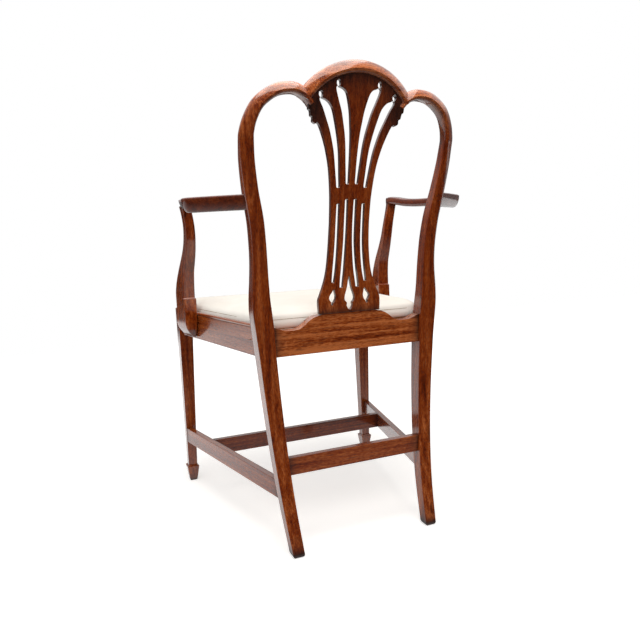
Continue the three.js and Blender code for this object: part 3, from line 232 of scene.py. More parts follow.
def bend(p0, p1, p2, p3, w):
    v0, v1 = (p2 - p0) / 2, (p3 - p1) / 2
    return (2 * p1 - 2 * p2 + v0 + v1) * w**3 + (3 * p2 - 3 * p1 - 2 * v0 - v1) * w**2 + v0 * w + p1


def spline(points, count):
    """An open smooth curve through the points, with count steps."""
    p = np.asarray(points, float)
    last = len(p) - 1
    rows = []
    for k in range(count + 1):
        place = last * k / count
        i = min(int(place), last - 1)
        rows.append(bend(p[max(i - 1, 0)], p[i], p[i + 1], p[min(i + 2, last)], place - i))
    return np.array(rows)


def ring_spline(points, per):
    """A closed smooth curve with per steps between two points."""
    p = np.asarray(points, float)
    n = len(p)
    return np.array([
        bend(p[k - 1], p[k], p[(k + 1) % n], p[(k + 2) % n], j / per) for k in range(n) for j in range(per)
    ])


def rounded_ring(points, corners, per):
    """A closed line with per steps between two points, where the listed stretches turn round a corner."""
    p = np.asarray(points, float)
    rows = []
    for k in range(len(p)):
        a, b = p[k], p[(k + 1) % len(p)]
        for j in range(per):
            t = j / per
            c = np.array(corners[k]) if k in corners else (a + b) / 2
            rows.append((1 - t) ** 2 * a + 2 * t * (1 - t) * c + t * t * b)
    return np.array(rows)


def rounded_box(x0, x1, y0, y1, radius, steps=5):
    """The corners of a rectangle, each a quarter turn, in plan."""
    rows = []
    turns = [(x1, y0, -90), (x1, y1, 0), (x0, y1, 90), (x0, y0, 180)]
    for x, y, start in turns:
        cx = x - math.copysign(radius, x - (x0 + x1) / 2)
        cy = y - math.copysign(radius, y - (y0 + y1) / 2)
        for j in range(steps + 1):
            a = math.radians(start + 90 * j / steps)
            rows.append((cx + radius * math.cos(a), cy + radius * math.sin(a)))
    return np.array(rows)


def back_face(z):
    """Distance of the back's rear face from the middle plane, at a height."""
    if z >= RAIL.bottom:
        return BACK_LEG.back + BACK.lean * smooth(LEAN, (z - RAIL.bottom) / BACK_RISE)
    return BACK_LEG.back + BACK_LEG.rake * smooth(RAKE, max(z, 0) / RAIL.bottom)


def leg_outer(z):
    return lerp(BACK_LEG.foot_outer, BACK_LEG.rail_outer, min(z / RAIL.bottom, 1))


def leg_side(z):
    return lerp(BACK_LEG.foot, BACK_LEG.rail, min(z / RAIL.bottom, 1))


# Meshes
def made(name, points, faces):
    """A mesh object at the origin from points in millimetres."""
    mesh = bpy.data.meshes.new(name)
    mesh.from_pydata((np.asarray(points, float) * MM).tolist(), [], faces)
    obj = bpy.data.objects.new(name, mesh)
    bpy.context.scene.collection.objects.link(obj)
    return tidy(obj)


def tidy(obj, distance=HAIR * MM / 5):
    """Merges doubles and turns every face outwards."""
    bm = bmesh.new()
    bm.from_mesh(obj.data)
    bmesh.ops.remove_doubles(bm, verts=bm.verts, dist=distance)
    bmesh.ops.recalc_face_normals(bm, faces=bm.faces)
    bm.to_mesh(obj.data)
    bm.free()
    return obj


def baked(obj):
    """Applies the modifiers."""
    bpy.context.view_layer.update()
    graph = bpy.context.evaluated_depsgraph_get()
    mesh = bpy.data.meshes.new_from_object(obj.evaluated_get(graph))
    obj.modifiers.clear()
    old, obj.data = obj.data, mesh
    if old.users == 0:
        bpy.data.meshes.remove(old)
    return obj


def modified(obj, kind, **settings):
    modifier = obj.modifiers.new(kind.lower(), kind)
    for key, value in settings.items():
        setattr(modifier, key, value)
    return baked(obj)


def softened(obj, width, segments=3, angle=30):
    """Rounds the sharp edges by a width in millimetres."""
    return modified(
        obj, "BEVEL", width=width * MM, segments=segments, limit_method="ANGLE",
        angle_limit=math.radians(angle), use_clamp_overlap=True,
    )


def shaded(obj, angle=38):
    """Smooth shading that keeps the sharp edges and flat faces."""
    obj.data.shade_smooth()
    obj.data.set_sharp_from_angle(angle=math.radians(angle))
    return modified(obj, "WEIGHTED_NORMAL", keep_sharp=True, weight=80)


def joined(obj, other, operation="UNION"):
    """Joins the other solid to obj, or cuts it out of obj, and removes it."""
    modified(obj, "BOOLEAN", operation=operation, solver="EXACT", object=other)
    bpy.data.objects.remove(other)
    return tidy(obj)


def loft(name, rings):
    """A closed skin over rings that have the same number of points."""
    count, stations = len(rings[0]), len(rings)
    faces = []
    for r in range(stations - 1):
        for k in range(count):
            a, b = r * count + k, r * count + (k + 1) % count
            faces.append((a, b, b + count, a + count))
    faces.append(tuple(range(count))[::-1])
    faces.append(tuple(range((stations - 1) * count, stations * count)))
    return made(name, np.concatenate(rings), faces)


def run(name, profile, place, start, end):
    """A profile of (across, height) run along a line. place turns (across, along, height) to a point."""
    rings = [[place(n, s, z) for n, z in profile] for s in (start, end)]
    return loft(name, [np.array(r, float) for r in rings])


def mirrored(obj, name):
    """The same piece on the other side of the chair."""
    twin = bpy.data.objects.new(name, obj.data.copy())
    bpy.context.scene.collection.objects.link(twin)
    twin.data.transform(Matrix.Diagonal((-1, 1, 1, 1)))
    twin.data.flip_normals()
    return twin


def points_of(obj):
    co = np.zeros(len(obj.data.vertices) * 3)
    obj.data.vertices.foreach_get("co", co)
    return co.reshape(-1, 3)


def move_points(obj, co):
    obj.data.vertices.foreach_set("co", np.ascontiguousarray(co, np.float32).ravel())
    obj.data.update()
    return obj


def cut_across(obj, way, places):
    """Adds points where the planes across the way cut the mesh."""
    bm = bmesh.new()
    bm.from_mesh(obj.data)
    for place in places:
        parts = [*bm.verts, *bm.edges, *bm.faces]
        bmesh.ops.bisect_plane(bm, geom=parts, plane_co=way * place, plane_no=way, dist=1e-6)
    bm.to_mesh(obj.data)
    bm.free()
    return obj


def noted(obj, name, values):
    """Writes one value or one vector for each point."""
    kind, key = ("FLOAT_VECTOR", "vector") if values.ndim > 1 else ("FLOAT", "value")
    attribute = obj.data.attributes.new(name, kind, "POINT")
    attribute.data.foreach_set(key, values.astype(np.float32).ravel())


def grain_of(co, along, board):
    """The points' places in a board: across, through and along the grain, in metres."""
    side = along.cross(Vector(GRAIN.quarter)).normalized()
    axes = np.array([side, along.cross(side), along])
    return co @ axes.T + np.array(GRAIN.board_step) * (board + 1)


def grained(obj, along, board, tint, ends, soot):
    """Notes each point's place in its board, how light the wood is there, and how much dirt and painted
    shade darken it.

    The tint runs from the piece's lowest point to its highest, and the dirt fades from the board's ends.
    The darkening function adds painted shade on the splat and inside the hoops.
    """
    along = Vector(along).normalized()
    places = points_of(obj) @ np.array(along)
    steps = np.array(GRIME.cuts) * GRIME.reach * MM
    cuts = [places.min() + k for k in steps if ends[0]] + [places.max() - k for k in steps if ends[1]]
    shaded(cut_across(obj, along, cuts))
    co = points_of(obj)
    noted(obj, "grain", grain_of(co, along, board))
    height = (co[:, 2] - co[:, 2].min()) / np.ptp(co[:, 2])
    noted(obj, "tint", lerp(tint[0], tint[1], height))
    far = (co @ np.array(along) - places.min(), places.max() - co @ np.array(along))
    grime = [share * np.exp(-way / (GRIME.reach * 2 * MM)) for share, way in zip(ends, far)]
    noted(obj, "grime", np.clip(np.max([*grime, soot(co / MM)], axis=0), 0, 1))
    return obj


# The chair's side and its stretcher: lines in plan, outward at +X in their own frame
def side_line(start, end):
    length = math.hypot(end[0] - start[0], end[1] - start[1])
    ux, uy = (end[0] - start[0]) / length, (end[1] - start[1]) / length

    def place(across, along, z):
        return start[0] + across * uy + along * ux, start[1] - across * ux + along * uy, z

    return place, length, (ux, uy, 0)


SIDE, SIDE_LENGTH, SIDE_WAY = side_line(
    (FRONT_LEG.outer, LEG_BACK_FRONT), (BACK_LEG.rail_outer, BACK_LEG.back - BACK_LEG.rail)
)


def front_side(z):
    share = (z - FRONT_LEG.ankle_height) / (RAIL_TOP - FRONT_LEG.ankle_height)
    return lerp(FRONT_LEG.ankle, FRONT_LEG.top, min(max(share, 0), 1))


def toe_in(z):
    return FRONT_LEG.toe_in * (1 - (z - FRONT_LEG.ankle_height) / (RAIL_TOP - FRONT_LEG.ankle_height))


STRETCHER, STRETCHER_LENGTH, STRETCHER_WAY = side_line(
    (
        FRONT_LEG.outer - toe_in(STRETCHER_MIDDLE),
        toe_in(STRETCHER_MIDDLE) - FRONT_LEG.front + front_side(STRETCHER_MIDDLE),
    ),
    (leg_outer(STRETCHER_MIDDLE), back_face(STRETCHER_MIDDLE) - leg_side(STRETCHER_MIDDLE)),
)

# The back
PER = 4
SQUARE_RING = rounded_ring(SQUARE, SQUARE_CORNERS, PER)
MOULDED_RING = ring_spline(MOULDED, PER)


def back_ring(centre, normal, width, depth, roundness):
    section = lerp(SQUARE_RING, MOULDED_RING, roundness) * (width, depth)
    rows = []
    for n, b in section:
        z = centre[1] + normal[1] * n
        rows.append((centre[0] + normal[0] * n, back_face(z) - b, z))
    return np.array(rows)


def back_leg():
    rings = []
    worn = BACK_LEG.worn
    sole = worn * np.array([0, 0.08, 0.25, 0.5, 0.75, 1, 1.4, 2])
    for z in [*sole, *np.linspace(worn * 3, RAIL.bottom, 26, endpoint=False)]:
        side = leg_side(z)
        inset = worn * (1 - math.sqrt(1 - max(1 - z / worn, 0) ** 2))
        rings.append(back_ring((leg_outer(z) - side / 2, z), (1, 0), side - 2 * inset, side - 2 * inset, 0))
        rings[-1][:, 1] -= inset
    top = (BACK_LEG.joint + GAP - RAIL.bottom) / BACK_RISE
    for t in np.linspace(0, top, 80):
        centre = (BACK.half_span * smooth(STILE, t), RAIL.bottom + BACK_RISE * t)
        width, depth = (BACK_LEG.rail * smooth(STILE, t, c) for c in (2, 3))
        rings.append(back_ring(centre, (1, 0), width, depth, max(smooth(STILE, t, 4), 0)))
    return loft("back_leg_wood_left", rings)


def hoop():
    rows = spline([(BACK.half_span * x, RAIL.bottom + BACK_RISE * z, w) for x, z, w in HOOP], 90)
    rows[:, 1] += GAP
    ways = np.gradient(rows[:, :2], axis=0)
    ways[0] = (0, 1)
    widths = [(k / (len(HOOP) - 1), row[2]) for k, row in enumerate(HOOP)]
    rings = []
    for k, (row, way) in enumerate(zip(rows, ways)):
        way = way / np.linalg.norm(way)
        width = BACK_LEG.rail * smooth(widths, k / (len(rows) - 1))
        rings.append(back_ring(row[:2], (way[1], -way[0]), width, BACK.depth, 1))
    return loft("hoop", rings)


def arch_band():
    rings = []
    for angle in np.linspace(-ARCH.half_angle, ARCH.half_angle, 90):
        normal = np.array((math.sin(angle), math.cos(angle)))
        centre = normal * (ARCH.radius - ARCH.band / 2) + (0, HEIGHT - ARCH.radius)
        rings.append(back_ring(centre, normal, ARCH.band, ARCH.depth, 1))
    return loft("crest_wood", rings)


def crest():
    whole, left = arch_band(), hoop()
    right = mirrored(left, "hoop_right")
    joined(whole, left)
    return joined(whole, right)


def splat_point(x, z):
    return SPLAT.half_base * x, lerp(SPLAT.bottom, SPLAT.top, z)


def splat_lines():
    """The splat's outline and its holes in the front view."""
    side = [tuple(p) for p in spline([splat_point(*p) for p in HALF_SPLAT], 110)]
    side += [tuple(p) for p in spline([splat_point(*p) for p in EAR], 42)]
    reach = ARCH.radius - ARCH.band + 5
    top = [
        (math.sin(a) * reach, HEIGHT - ARCH.radius + math.cos(a) * reach)
        for a in np.linspace(ARCH.half_angle * 0.99, -ARCH.half_angle * 0.99, 50)
    ]
    lines = [side + top + [(-x, z) for x, z in side[::-1]]]
    for flip in (1, -1):
        for rows in (OUTER_SLOT, INNER_SLOT, OUTER_LOW, INNER_LOW):
            steps = len(rows) * 5
            inner = spline([splat_point(a * flip, z) for z, a, _ in rows], steps)
            outer = spline([splat_point(b * flip, z) for z, _, b in rows], steps)
            lines.append([*inner, *outer[::-1]])
        lines.append(ring_spline([splat_point(x * flip, z) for x, z in HUSK], 6))
    drop = TEARDROP + [(-x, z) for x, z in TEARDROP[-2:0:-1]]
    lines.append(ring_spline([splat_point(x, z) for x, z in drop], 6))
    return lines


def turned_way(line, wanted):
    """The closed line, turned so that its area has the wanted sign."""
    p = np.asarray(line, float)
    area = np.sum(p[:, 0] * np.roll(p[:, 1], -1) - np.roll(p[:, 0], -1) * p[:, 1])
    return p if area * wanted > 0 else p[::-1]


def inset_of(line, width):
    """Steps into the wood from each point of a closed line, shorter where the line turns tightly."""
    ahead, behind = np.roll(line, -1, 0), np.roll(line, 1, 0)
    way = ahead - behind
    way /= np.linalg.norm(way, axis=1, keepdims=True)
    normal = np.column_stack([-way[:, 1], way[:, 0]])
    widths = np.full(len(line), float(width))
    for _ in range(14):
        moved = line + normal * widths[:, None]
        along = np.sum((np.roll(moved, -1, 0) - moved) * (ahead - line), axis=1)
        tight = along < 0.2 * np.sum((ahead - line) ** 2, axis=1)
        near = tight | np.roll(tight, 1) | np.roll(tight, 2) | np.roll(tight, -1)
        widths[near] *= 0.75
    return normal * widths[:, None]


def inside_lines(places, lines):
    """Whether each place lies inside an odd number of the closed lines."""
    odd = np.zeros(len(places), bool)
    for line in lines:
        for (x0, z0), (x1, z1) in zip(line, np.roll(line, -1, 0)):
            crosses = (z0 > places[:, 1]) != (z1 > places[:, 1])
            if crosses.any():
                odd ^= crosses & (places[:, 0] < x0 + (x1 - x0) * (places[:, 1] - z0) / (z1 - z0))
    return odd


def pierced_board(name, lines, thickness, edge, turns=4):
    """A flat board with holes and rounded edges, drawn in the front view. The first line is its outline."""
    points, faces, loops = [], [], []
    for k, line in enumerate(lines):
        p = turned_way(line, 1 if k == 0 else -1)
        step, n = inset_of(p, edge), len(p)
        rings = []
        for side in (1, -1):
            arc = [math.radians(90 * j / turns) for j in range(turns + 1)]
            for a in arc if side == 1 else arc[::-1]:
                depth = side * (thickness / 2 - edge * (1 - math.cos(a)))
                rings.append(np.column_stack([p + step * (1 - math.sin(a)), np.full(n, depth)]))
        start = sum(len(q) for q in points)
        points += rings
        for r in range(len(rings) - 1):
            for j in range(n):
                a, b = start + r * n + j, start + r * n + (j + 1) % n
                faces.append((a, b, b + n, a + n))
        loops.append([Vector(q) for q in (p + step)])
    flat = [v for loop in loops for v in loop]
    firsts = np.cumsum([0, *[len(loop) for loop in loops]])
    edges = [
        (first + j, first + (j + 1) % len(loop))
        for first, loop in zip(firsts, loops) for j in range(len(loop))
    ]
    spots, _, cells, *_ = delaunay_2d_cdt(flat, edges, [], 0, 1e-5)
    places = np.array([np.mean([spots[v] for v in cell], axis=0) for cell in cells])
    wood = inside_lines(places, [np.array([tuple(v) for v in loop]) for loop in loops])
    base = sum(len(q) for q in points)
    for depth in (thickness / 2, -thickness / 2):
        points.append(np.array([(v.x, v.y, depth) for v in spots]))
    for cell, keep in zip(cells, wood):
        if keep:
            faces.append(tuple(base + v for v in cell))
            faces.append(tuple(base + len(spots) + v for v in cell[::-1]))
    return made(name, np.concatenate(points), faces)


def splat():
    """A pierced board, cut across into strips and bent to the back's lean."""
    obj = pierced_board("splat_wood", splat_lines(), SPLAT.thickness, SPLAT.edge)
    cut_across(obj, Vector((0, 1, 0)), np.arange(SPLAT.bottom, HEIGHT, SPLAT.strip) * MM)
    co = points_of(obj) / MM
    face = np.array([back_face(z) for z in co[:, 1]])
    y = face - SPLAT.recess - SPLAT.thickness / 2 + co[:, 2]
    return tidy(move_points(obj, np.column_stack([co[:, 0], y, co[:, 1]]) * MM))


def rail_section(set_in=0):
    outer, inner = -RAIL.recess - set_in, -RAIL.recess - RAIL.thickness
    bead = [(outer - RAIL.step * n, RAIL_TOP - RAIL.bead * z) for n, z in BEAD]
    ledge = RAIL_TOP - SEAT.rebate_depth
    return [
        (inner, RAIL_BASE), (outer - RAIL.step, RAIL_BASE), *map(tuple, spline(bead, 30)),
        (inner + SEAT.rebate_width, RAIL_TOP), (inner + SEAT.rebate_width, ledge), (inner, ledge),
    ]


def front_rail():
    half = FRONT_LEG.outer - FRONT_LEG.top - HAIR
    obj = run("front_rail_wood", rail_section(), lambda n, s, z: (s, -FRONT_LEG.front - n, z), -half, half)
    return softened(obj, 0.7, 2, 50)


def side_rail():
    obj = run("side_rail_wood_left", rail_section(RAIL.side_set_in), SIDE, HAIR, SIDE_LENGTH + EMBED)
    return softened(obj, 0.7, 2, 50)


def block(name, x, y, z):
    corners = [(i, j, k) for i in x for j in y for k in z]
    faces = [(0, 1, 3, 2), (4, 6, 7, 5), (0, 4, 5, 1), (2, 3, 7, 6), (0, 2, 6, 4), (1, 5, 7, 3)]
    return made(name, corners, faces)


def back_rail():
    half = leg_outer(RAIL.bottom) - BACK_LEG.rail - GAP
    side = spline([(half * x, RAIL.bottom + BACK_RAIL.shoe * z) for x, z in SHOE], 70)
    reach = half + EMBED
    side = [(x, z) for x, z in side if x < reach]
    side.insert(0, (reach, RAIL.bottom + BACK_RAIL.shoe * SHOE[0][1]))
    top = [*side, (half * 0.36, RAIL.bottom + BACK_RAIL.shoe)]
    profile = [(-reach, RAIL_BASE), (reach, RAIL_BASE), *top, *[(-x, z) for x, z in top[::-1]]]
    back = BACK_LEG.back - BACK_RAIL.recess
    front = back - RAIL.thickness
    obj = run("back_rail_wood", profile, lambda n, s, z: (n, s, z), front - BACK_RAIL.ledge, back)
    well = block("well", (-reach * 2, reach * 2), (0, front), (RAIL_TOP - SEAT.rebate_depth, HEIGHT))
    return softened(joined(obj, well, "DIFFERENCE"), 1.5, 3, 40)


def seat_plan(clear):
    front = RAIL.recess - FRONT_LEG.front + RAIL.thickness - SEAT.rebate_width + clear
    back = BACK_LEG.back - BACK_LEG.rail - clear
    x0, y0, _ = SIDE(SEAT.rebate_width - RAIL.recess - RAIL.thickness - clear, 0, 0)
    return front, back, *(x0 + (y - y0) * SIDE_WAY[0] / SIDE_WAY[1] for y in (front, back))


def front_leg():
    def ring(side, z, inset, radius):
        x1, y0 = FRONT_LEG.outer - inset, inset - FRONT_LEG.front
        plan = rounded_box(x1 - side, x1, y0, y0 + side, radius)
        return np.column_stack([plan, np.full(len(plan), z)])

    def foot(side, z):
        return ring(side, z, FRONT_LEG.toe_in - (side - FRONT_LEG.ankle) / 2, FRONT_LEG.arris * 0.8)

    sole, wide, tall, slim = FRONT_LEG.sole, FRONT_LEG.foot, FRONT_LEG.foot_height, FRONT_LEG.ankle
    rings = [
        foot(sole * 0.86, 0), foot(sole * 0.97, 0.8), foot(sole * 1.03, 2),
        foot(lerp(sole, wide, 0.3), tall * 0.25), foot(lerp(sole, wide, 0.56), tall * 0.5),
        foot(lerp(sole, wide, 0.8), tall * 0.75), foot(wide, tall * 0.955),
        foot(wide * 1.004, tall * 0.975), foot(wide * 0.985, tall * 0.995), foot(wide * 0.93, tall + 0.5),
        foot(slim * 1.15, tall + 1.4), foot(slim * 1.04, tall + 2.6), foot(slim * 1.005, tall + 4),
    ]
    for z in np.linspace(FRONT_LEG.ankle_height, RAIL_TOP, 24):
        rings.append(ring(front_side(z), z, toe_in(z), FRONT_LEG.arris))
    obj = loft("front_leg_wood_left", rings)
    front, back, half, _ = seat_plan(0)
    well = block("well", (0, half), (front, back), (RAIL_TOP - SEAT.rebate_depth, HEIGHT))
    return softened(joined(obj, well, "DIFFERENCE"), 0.6, 2, 50)


def stretcher_profile(bottom, height, face, thickness):
    plan = rounded_box(face - thickness, face, bottom, bottom + height, 1.2, 4)
    return [tuple(p) for p in plan]


def side_stretcher():
    s = SIDE_STRETCHER
    profile = stretcher_profile(s.bottom, s.height, -s.recess, s.thickness)
    return run("side_stretcher_wood_left", profile, STRETCHER, -EMBED / 2, STRETCHER_LENGTH + EMBED)


def middle_stretcher():
    s = SIDE_STRETCHER
    back = MIDDLE_STRETCHER.back
    profile = stretcher_profile(s.bottom, s.height, back, s.thickness)

    def inner(y):
        x0, y0, _ = STRETCHER(-s.recess - s.thickness, 0, 0)
        return x0 + (y - y0) * STRETCHER_WAY[0] / STRETCHER_WAY[1] - HAIR

    rings = [np.array([(side * inner(y), y, z) for y, z in profile]) for side in (-1, 1)]
    return loft("middle_stretcher_wood", rings)


def back_stretcher():
    s = BACK_STRETCHER
    middle = s.bottom + s.height / 2
    back = back_face(middle) - s.recess
    profile = stretcher_profile(s.bottom, s.height, back, SIDE_STRETCHER.thickness)
    reach = leg_outer(middle) - leg_side(middle) + EMBED
    return run("back_stretcher_wood", profile, lambda n, s, z: (s, n, z), -reach, reach)


def arm():
    """A swept section: straight out from the stile, round the crook and forward to the hand."""
    stile, crook, elbow = ARM.stile, ARM.crook, ARM.elbow
    back = [(lerp(stile[0], crook[0], x), lerp(stile[1], crook[1], y)) for x, y in ARM_BACK]
    front = [(lerp(elbow[0], crook[0], x), lerp(crook[1], elbow[1], y)) for x, y in ARM_FRONT]
    line = spline(back + front, 1600)
    far = np.concatenate([[0], np.cumsum(np.linalg.norm(np.diff(line, axis=0), axis=1))])
    ways = np.gradient(line, axis=0)
    section = ring_spline(ARM_SECTION, PER)
    rings = []
    for t in np.linspace(0, 1, 140):
        centre = [np.interp(t * far[-1], far, line[:, c]) for c in (0, 1)]
        way = np.array([np.interp(t * far[-1], far, ways[:, c]) for c in (0, 1)])
        way /= np.linalg.norm(way)
        forward, end = smooth_step(t, 0.3, 0.62), smooth_step(t, 0.955, 1)
        width = lerp(ARM.back_width, ARM.hand_width, forward) * (1 - 0.25 * end)
        height = lerp(ARM.back_height, ARM.hand_height, forward)
        top = ARM.top + ARM.rise * smooth(ARM_RISE, t) - ARM.hand_height * 0.12 * end
        n = section[:, 0] * width
        rings.append(np.column_stack([
            centre[0] - way[1] * n, centre[1] + way[0] * n, top + section[:, 1] * height,
        ]))
    return softened(loft("arm_wood_left", rings), 1.6, 3, 50)


def support():
    """Rounded rectangles, from the pad screwed to the rail up to the arm."""
    front = np.array([*SUPPORT_FOOT, *spline(SUPPORT_FRONT, 120)])
    back = np.array([*SUPPORT_PAD, *spline(SUPPORT_BACK, 120)])
    outer, inner = spline(SUPPORT_OUTER, 150), spline(SUPPORT_INNER, 120)
    pad = SUPPORT.back - SUPPORT.front
    rings = []
    for v in sorted({*np.linspace(0, (SUPPORT.top - SUPPORT.bottom) / SUPPORT_RISE, 90), *SUPPORT_STEPS}):
        y0, y1 = (SUPPORT.front + pad * np.interp(v, t[:, 0], t[:, 1]) for t in (front, back))
        x1 = SUPPORT.pad_width * np.interp(v, outer[:, 0], outer[:, 1])
        x0 = SUPPORT.splay * np.interp(v, inner[:, 0], inner[:, 1])
        radius = min(SUPPORT.round, (x1 - x0) / 2.2)
        z = SUPPORT.bottom + SUPPORT_RISE * v
        rings.append(np.array([SIDE(x + GAP, y, z) for x, y in rounded_box(x0, x1, y0, y1, radius, 6)]))
    return loft("arm_support_wood_left", rings)


# The seat
SEAT_BASE = RAIL_TOP - SEAT.rebate_depth + GAP
PAD_BASE = SEAT_BASE + SEAT.frame_height + 2 * SEAT.web + SEAT.cloth + 4 * GAP


def pad_ring(clear, z, draw_in, per_side=30, turn=8):
    """The plan of the cushion: rounded corners and sides that pull in between them."""
    front, back, half_front, half_back = seat_plan(SEAT.play + clear)
    corners = np.array([(half_front, front), (half_back, back), (-half_back, back), (-half_front, front)])
    radius = max(SEAT.corner - clear * 0.3, SEAT.corner * 0.4)
    rows = []
    for k, corner in enumerate(corners):
        before = (corners[k - 1] - corner) / np.linalg.norm(corners[k - 1] - corner)
        after = corners[(k + 1) % 4] - corner
        after /= np.linalg.norm(after)
        a, b = corner + before * radius, corner + after * radius
        for u in np.linspace(0, 1, turn):
            rows.append((1 - u) ** 2 * a + 2 * u * (1 - u) * corner + u * u * b)
        end = corners[(k + 1) % 4] - after * radius
        inward = np.array((-after[1], after[0]))
        inward *= -np.sign(inward @ corner)
        for share in np.arange(1, per_side) / per_side:
            rows.append(lerp(b, end, share) + inward * draw_in * math.sin(math.pi * share))
    return np.column_stack([rows, np.full(len(rows), z)])


def crowned(name, skin, bottom, lower):
    front, back, *_ = seat_plan(SEAT.play)
    top = RAIL_TOP + SEAT.crown + skin - lower
    rings = [pad_ring(SEAT.cover - skin + SEAT.play, bottom, 0)]
    for h, inset, draw in spline(CROWN, 36):
        clear = SEAT.cover - skin + (back - front) / 2 * max(inset, 0) * 0.98
        rings.append(pad_ring(clear, lerp(PAD_BASE + 4 * GAP, top, h), SEAT.draw_in * draw))
    return loft(name, rings)


def swollen(obj, cap, frames=20):
    """Blows the cushion up a little like a stuffed pad. Its hem stays on the frame."""
    rest = points_of(obj)
    hem = obj.vertex_groups.new(name="hem")
    low = np.nonzero(rest[:, 2] < (RAIL_TOP + 3) * MM)[0]
    hem.add([int(i) for i in low], 1, "REPLACE")
    cloth = obj.modifiers.new("cloth", "CLOTH")
    settings = cloth.settings
    settings.quality = 6
    settings.mass = 0.3
    settings.tension_stiffness = settings.compression_stiffness = 40
    settings.bending_stiffness = 3
    settings.use_pressure = True
    settings.uniform_pressure_force = 4
    settings.vertex_group_mass = "hem"
    settings.effector_weights.gravity = 0
    cloth.point_cache.frame_start, cloth.point_cache.frame_end = 1, frames
    scene = bpy.context.scene
    for frame_number in range(1, frames + 1):
        scene.frame_set(frame_number)
    baked(obj)
    scene.frame_set(1)
    moved = points_of(obj) - rest
    far = np.maximum(np.linalg.norm(moved, axis=1, keepdims=True), 1e-9)
    move_points(obj, rest + moved * np.minimum(1, cap * MM / far))
    obj.vertex_groups.clear()
    return obj


def cushion():
    obj = crowned("seat_cushion", SEAT.cover, SEAT_BASE + GAP, 2)
    modified(obj, "REMESH", mode="VOXEL", voxel_size=SEAT.remesh * MM, use_smooth_shade=True)
    swollen(obj, SEAT.swell)
    modified(obj, "SMOOTH", factor=0.5, iterations=4)
    modified(obj, "SUBSURF", levels=1, render_levels=1)
    co = points_of(obj)
    front, back, half_front, half_back = (v * MM for v in seat_plan(SEAT.play + SEAT.cover * 4))
    share = (co[:, 1] - front) / (back - front)
    inside = (share > 0) & (share < 1) & (np.abs(co[:, 0]) < lerp(half_front, half_back, share))
    under = inside & (co[:, 2] < (SEAT_BASE + 3) * MM)
    co[under, 2] = PAD_BASE * MM
    return move_points(obj, co)


# Node trees
class Value:
    """A node's output that takes part in sums."""

    def __init__(self, tree, socket):
        self.tree, self.socket = tree, socket

    def math(self, operation, a, b=0.0):
        return self.tree.node("ShaderNodeMath", {0: a, 1: b}, {"operation": operation})

    def __add__(self, other):
        return self.math("ADD", self, other)

    def __sub__(self, other):
        return self.math("SUBTRACT", self, other)

    def __rsub__(self, other):
        return self.math("SUBTRACT", other, self)

    def __mul__(self, other):
        return self.math("MULTIPLY", self, other)

    __radd__, __rmul__ = __add__, __mul__

    def sine(self):
        return self.math("SINE", self)

    def over(self, other):
        return self.math("MAXIMUM", self, other)


class Tree:
    """A node tree that is built by one method."""

    def __init__(self, tree):
        self.tree = tree
        tree.nodes.clear()

    def node(self, kind, inputs=(), settings=(), out=0):
        """Adds a node, sets it, fills or links its inputs, and returns one of its outputs."""
        made_node = self.tree.nodes.new(kind)
        for key, value in dict(settings).items():
            if key == "stops":
                ramp = made_node.color_ramp
                while len(ramp.elements) < len(value):
                    ramp.elements.new(0.5)
                for element, (place, colour) in zip(ramp.elements, value):
                    element.position, element.color = place, (*colour, 1)
            else:
                setattr(made_node, key, value)
        for key, value in dict(inputs).items():
            if isinstance(value, Value):
                self.tree.links.new(value.socket, made_node.inputs[key])
            else:
                made_node.inputs[key].default_value = value
        return Value(self, made_node.outputs[out]) if len(made_node.outputs) else made_node

    def mix(self, share, a, b):
        """A colour between two."""
        settings = {"data_type": "RGBA"}
        return self.node("ShaderNodeMix", {0: share, 6: colour_of(a), 7: colour_of(b)}, settings, 2)

    def stretched(self, vector, by):
        return self.node("ShaderNodeVectorMath", {0: vector, 1: by}, {"operation": "MULTIPLY"})

    def noise(self, vector, by, detail=2.0, rough=0.5, warp=0.0):
        inputs = {
            "Vector": self.stretched(vector, by), "Scale": 1.0, "Detail": detail, "Roughness": rough,
            "Distortion": warp,
        }
        return self.node("ShaderNodeTexNoise", inputs)

    def ramp(self, value, *stops):
        return self.node("ShaderNodeValToRGB", {0: value}, {"stops": stops})

    def between(self, value, low, high):
        """0 below low and 1 above high, smooth between."""
        inputs = {"Value": value, "From Min": low, "From Max": high}
        return self.node("ShaderNodeMapRange", inputs, {"interpolation_type": "SMOOTHSTEP"})


def colour_of(value):
    return value if isinstance(value, Value) or len(value) == 4 else (*value, 1)


class Finish(Tree):
    """A material with one Principled shader."""

    def __init__(self, name):
        self.material = bpy.data.materials.new(name)
        self.material.use_nodes = True
        super().__init__(self.material.node_tree)

    def done(self, colour, roughness, height=None, depth=0.0, strength=1.0, **fixed):
        inputs = {"Base Color": colour_of(colour), "Roughness": roughness}
        inputs.update({key.replace("_", " "): value for key, value in fixed.items()})
        if height is not None:
            bump = {"Height": height, "Distance": depth, "Strength": strength}
            inputs["Normal"] = self.node("ShaderNodeBump", bump)
        shader = self.node("ShaderNodeBsdfPrincipled", inputs)
        self.node("ShaderNodeOutputMaterial", {"Surface": shader})
        return self.material


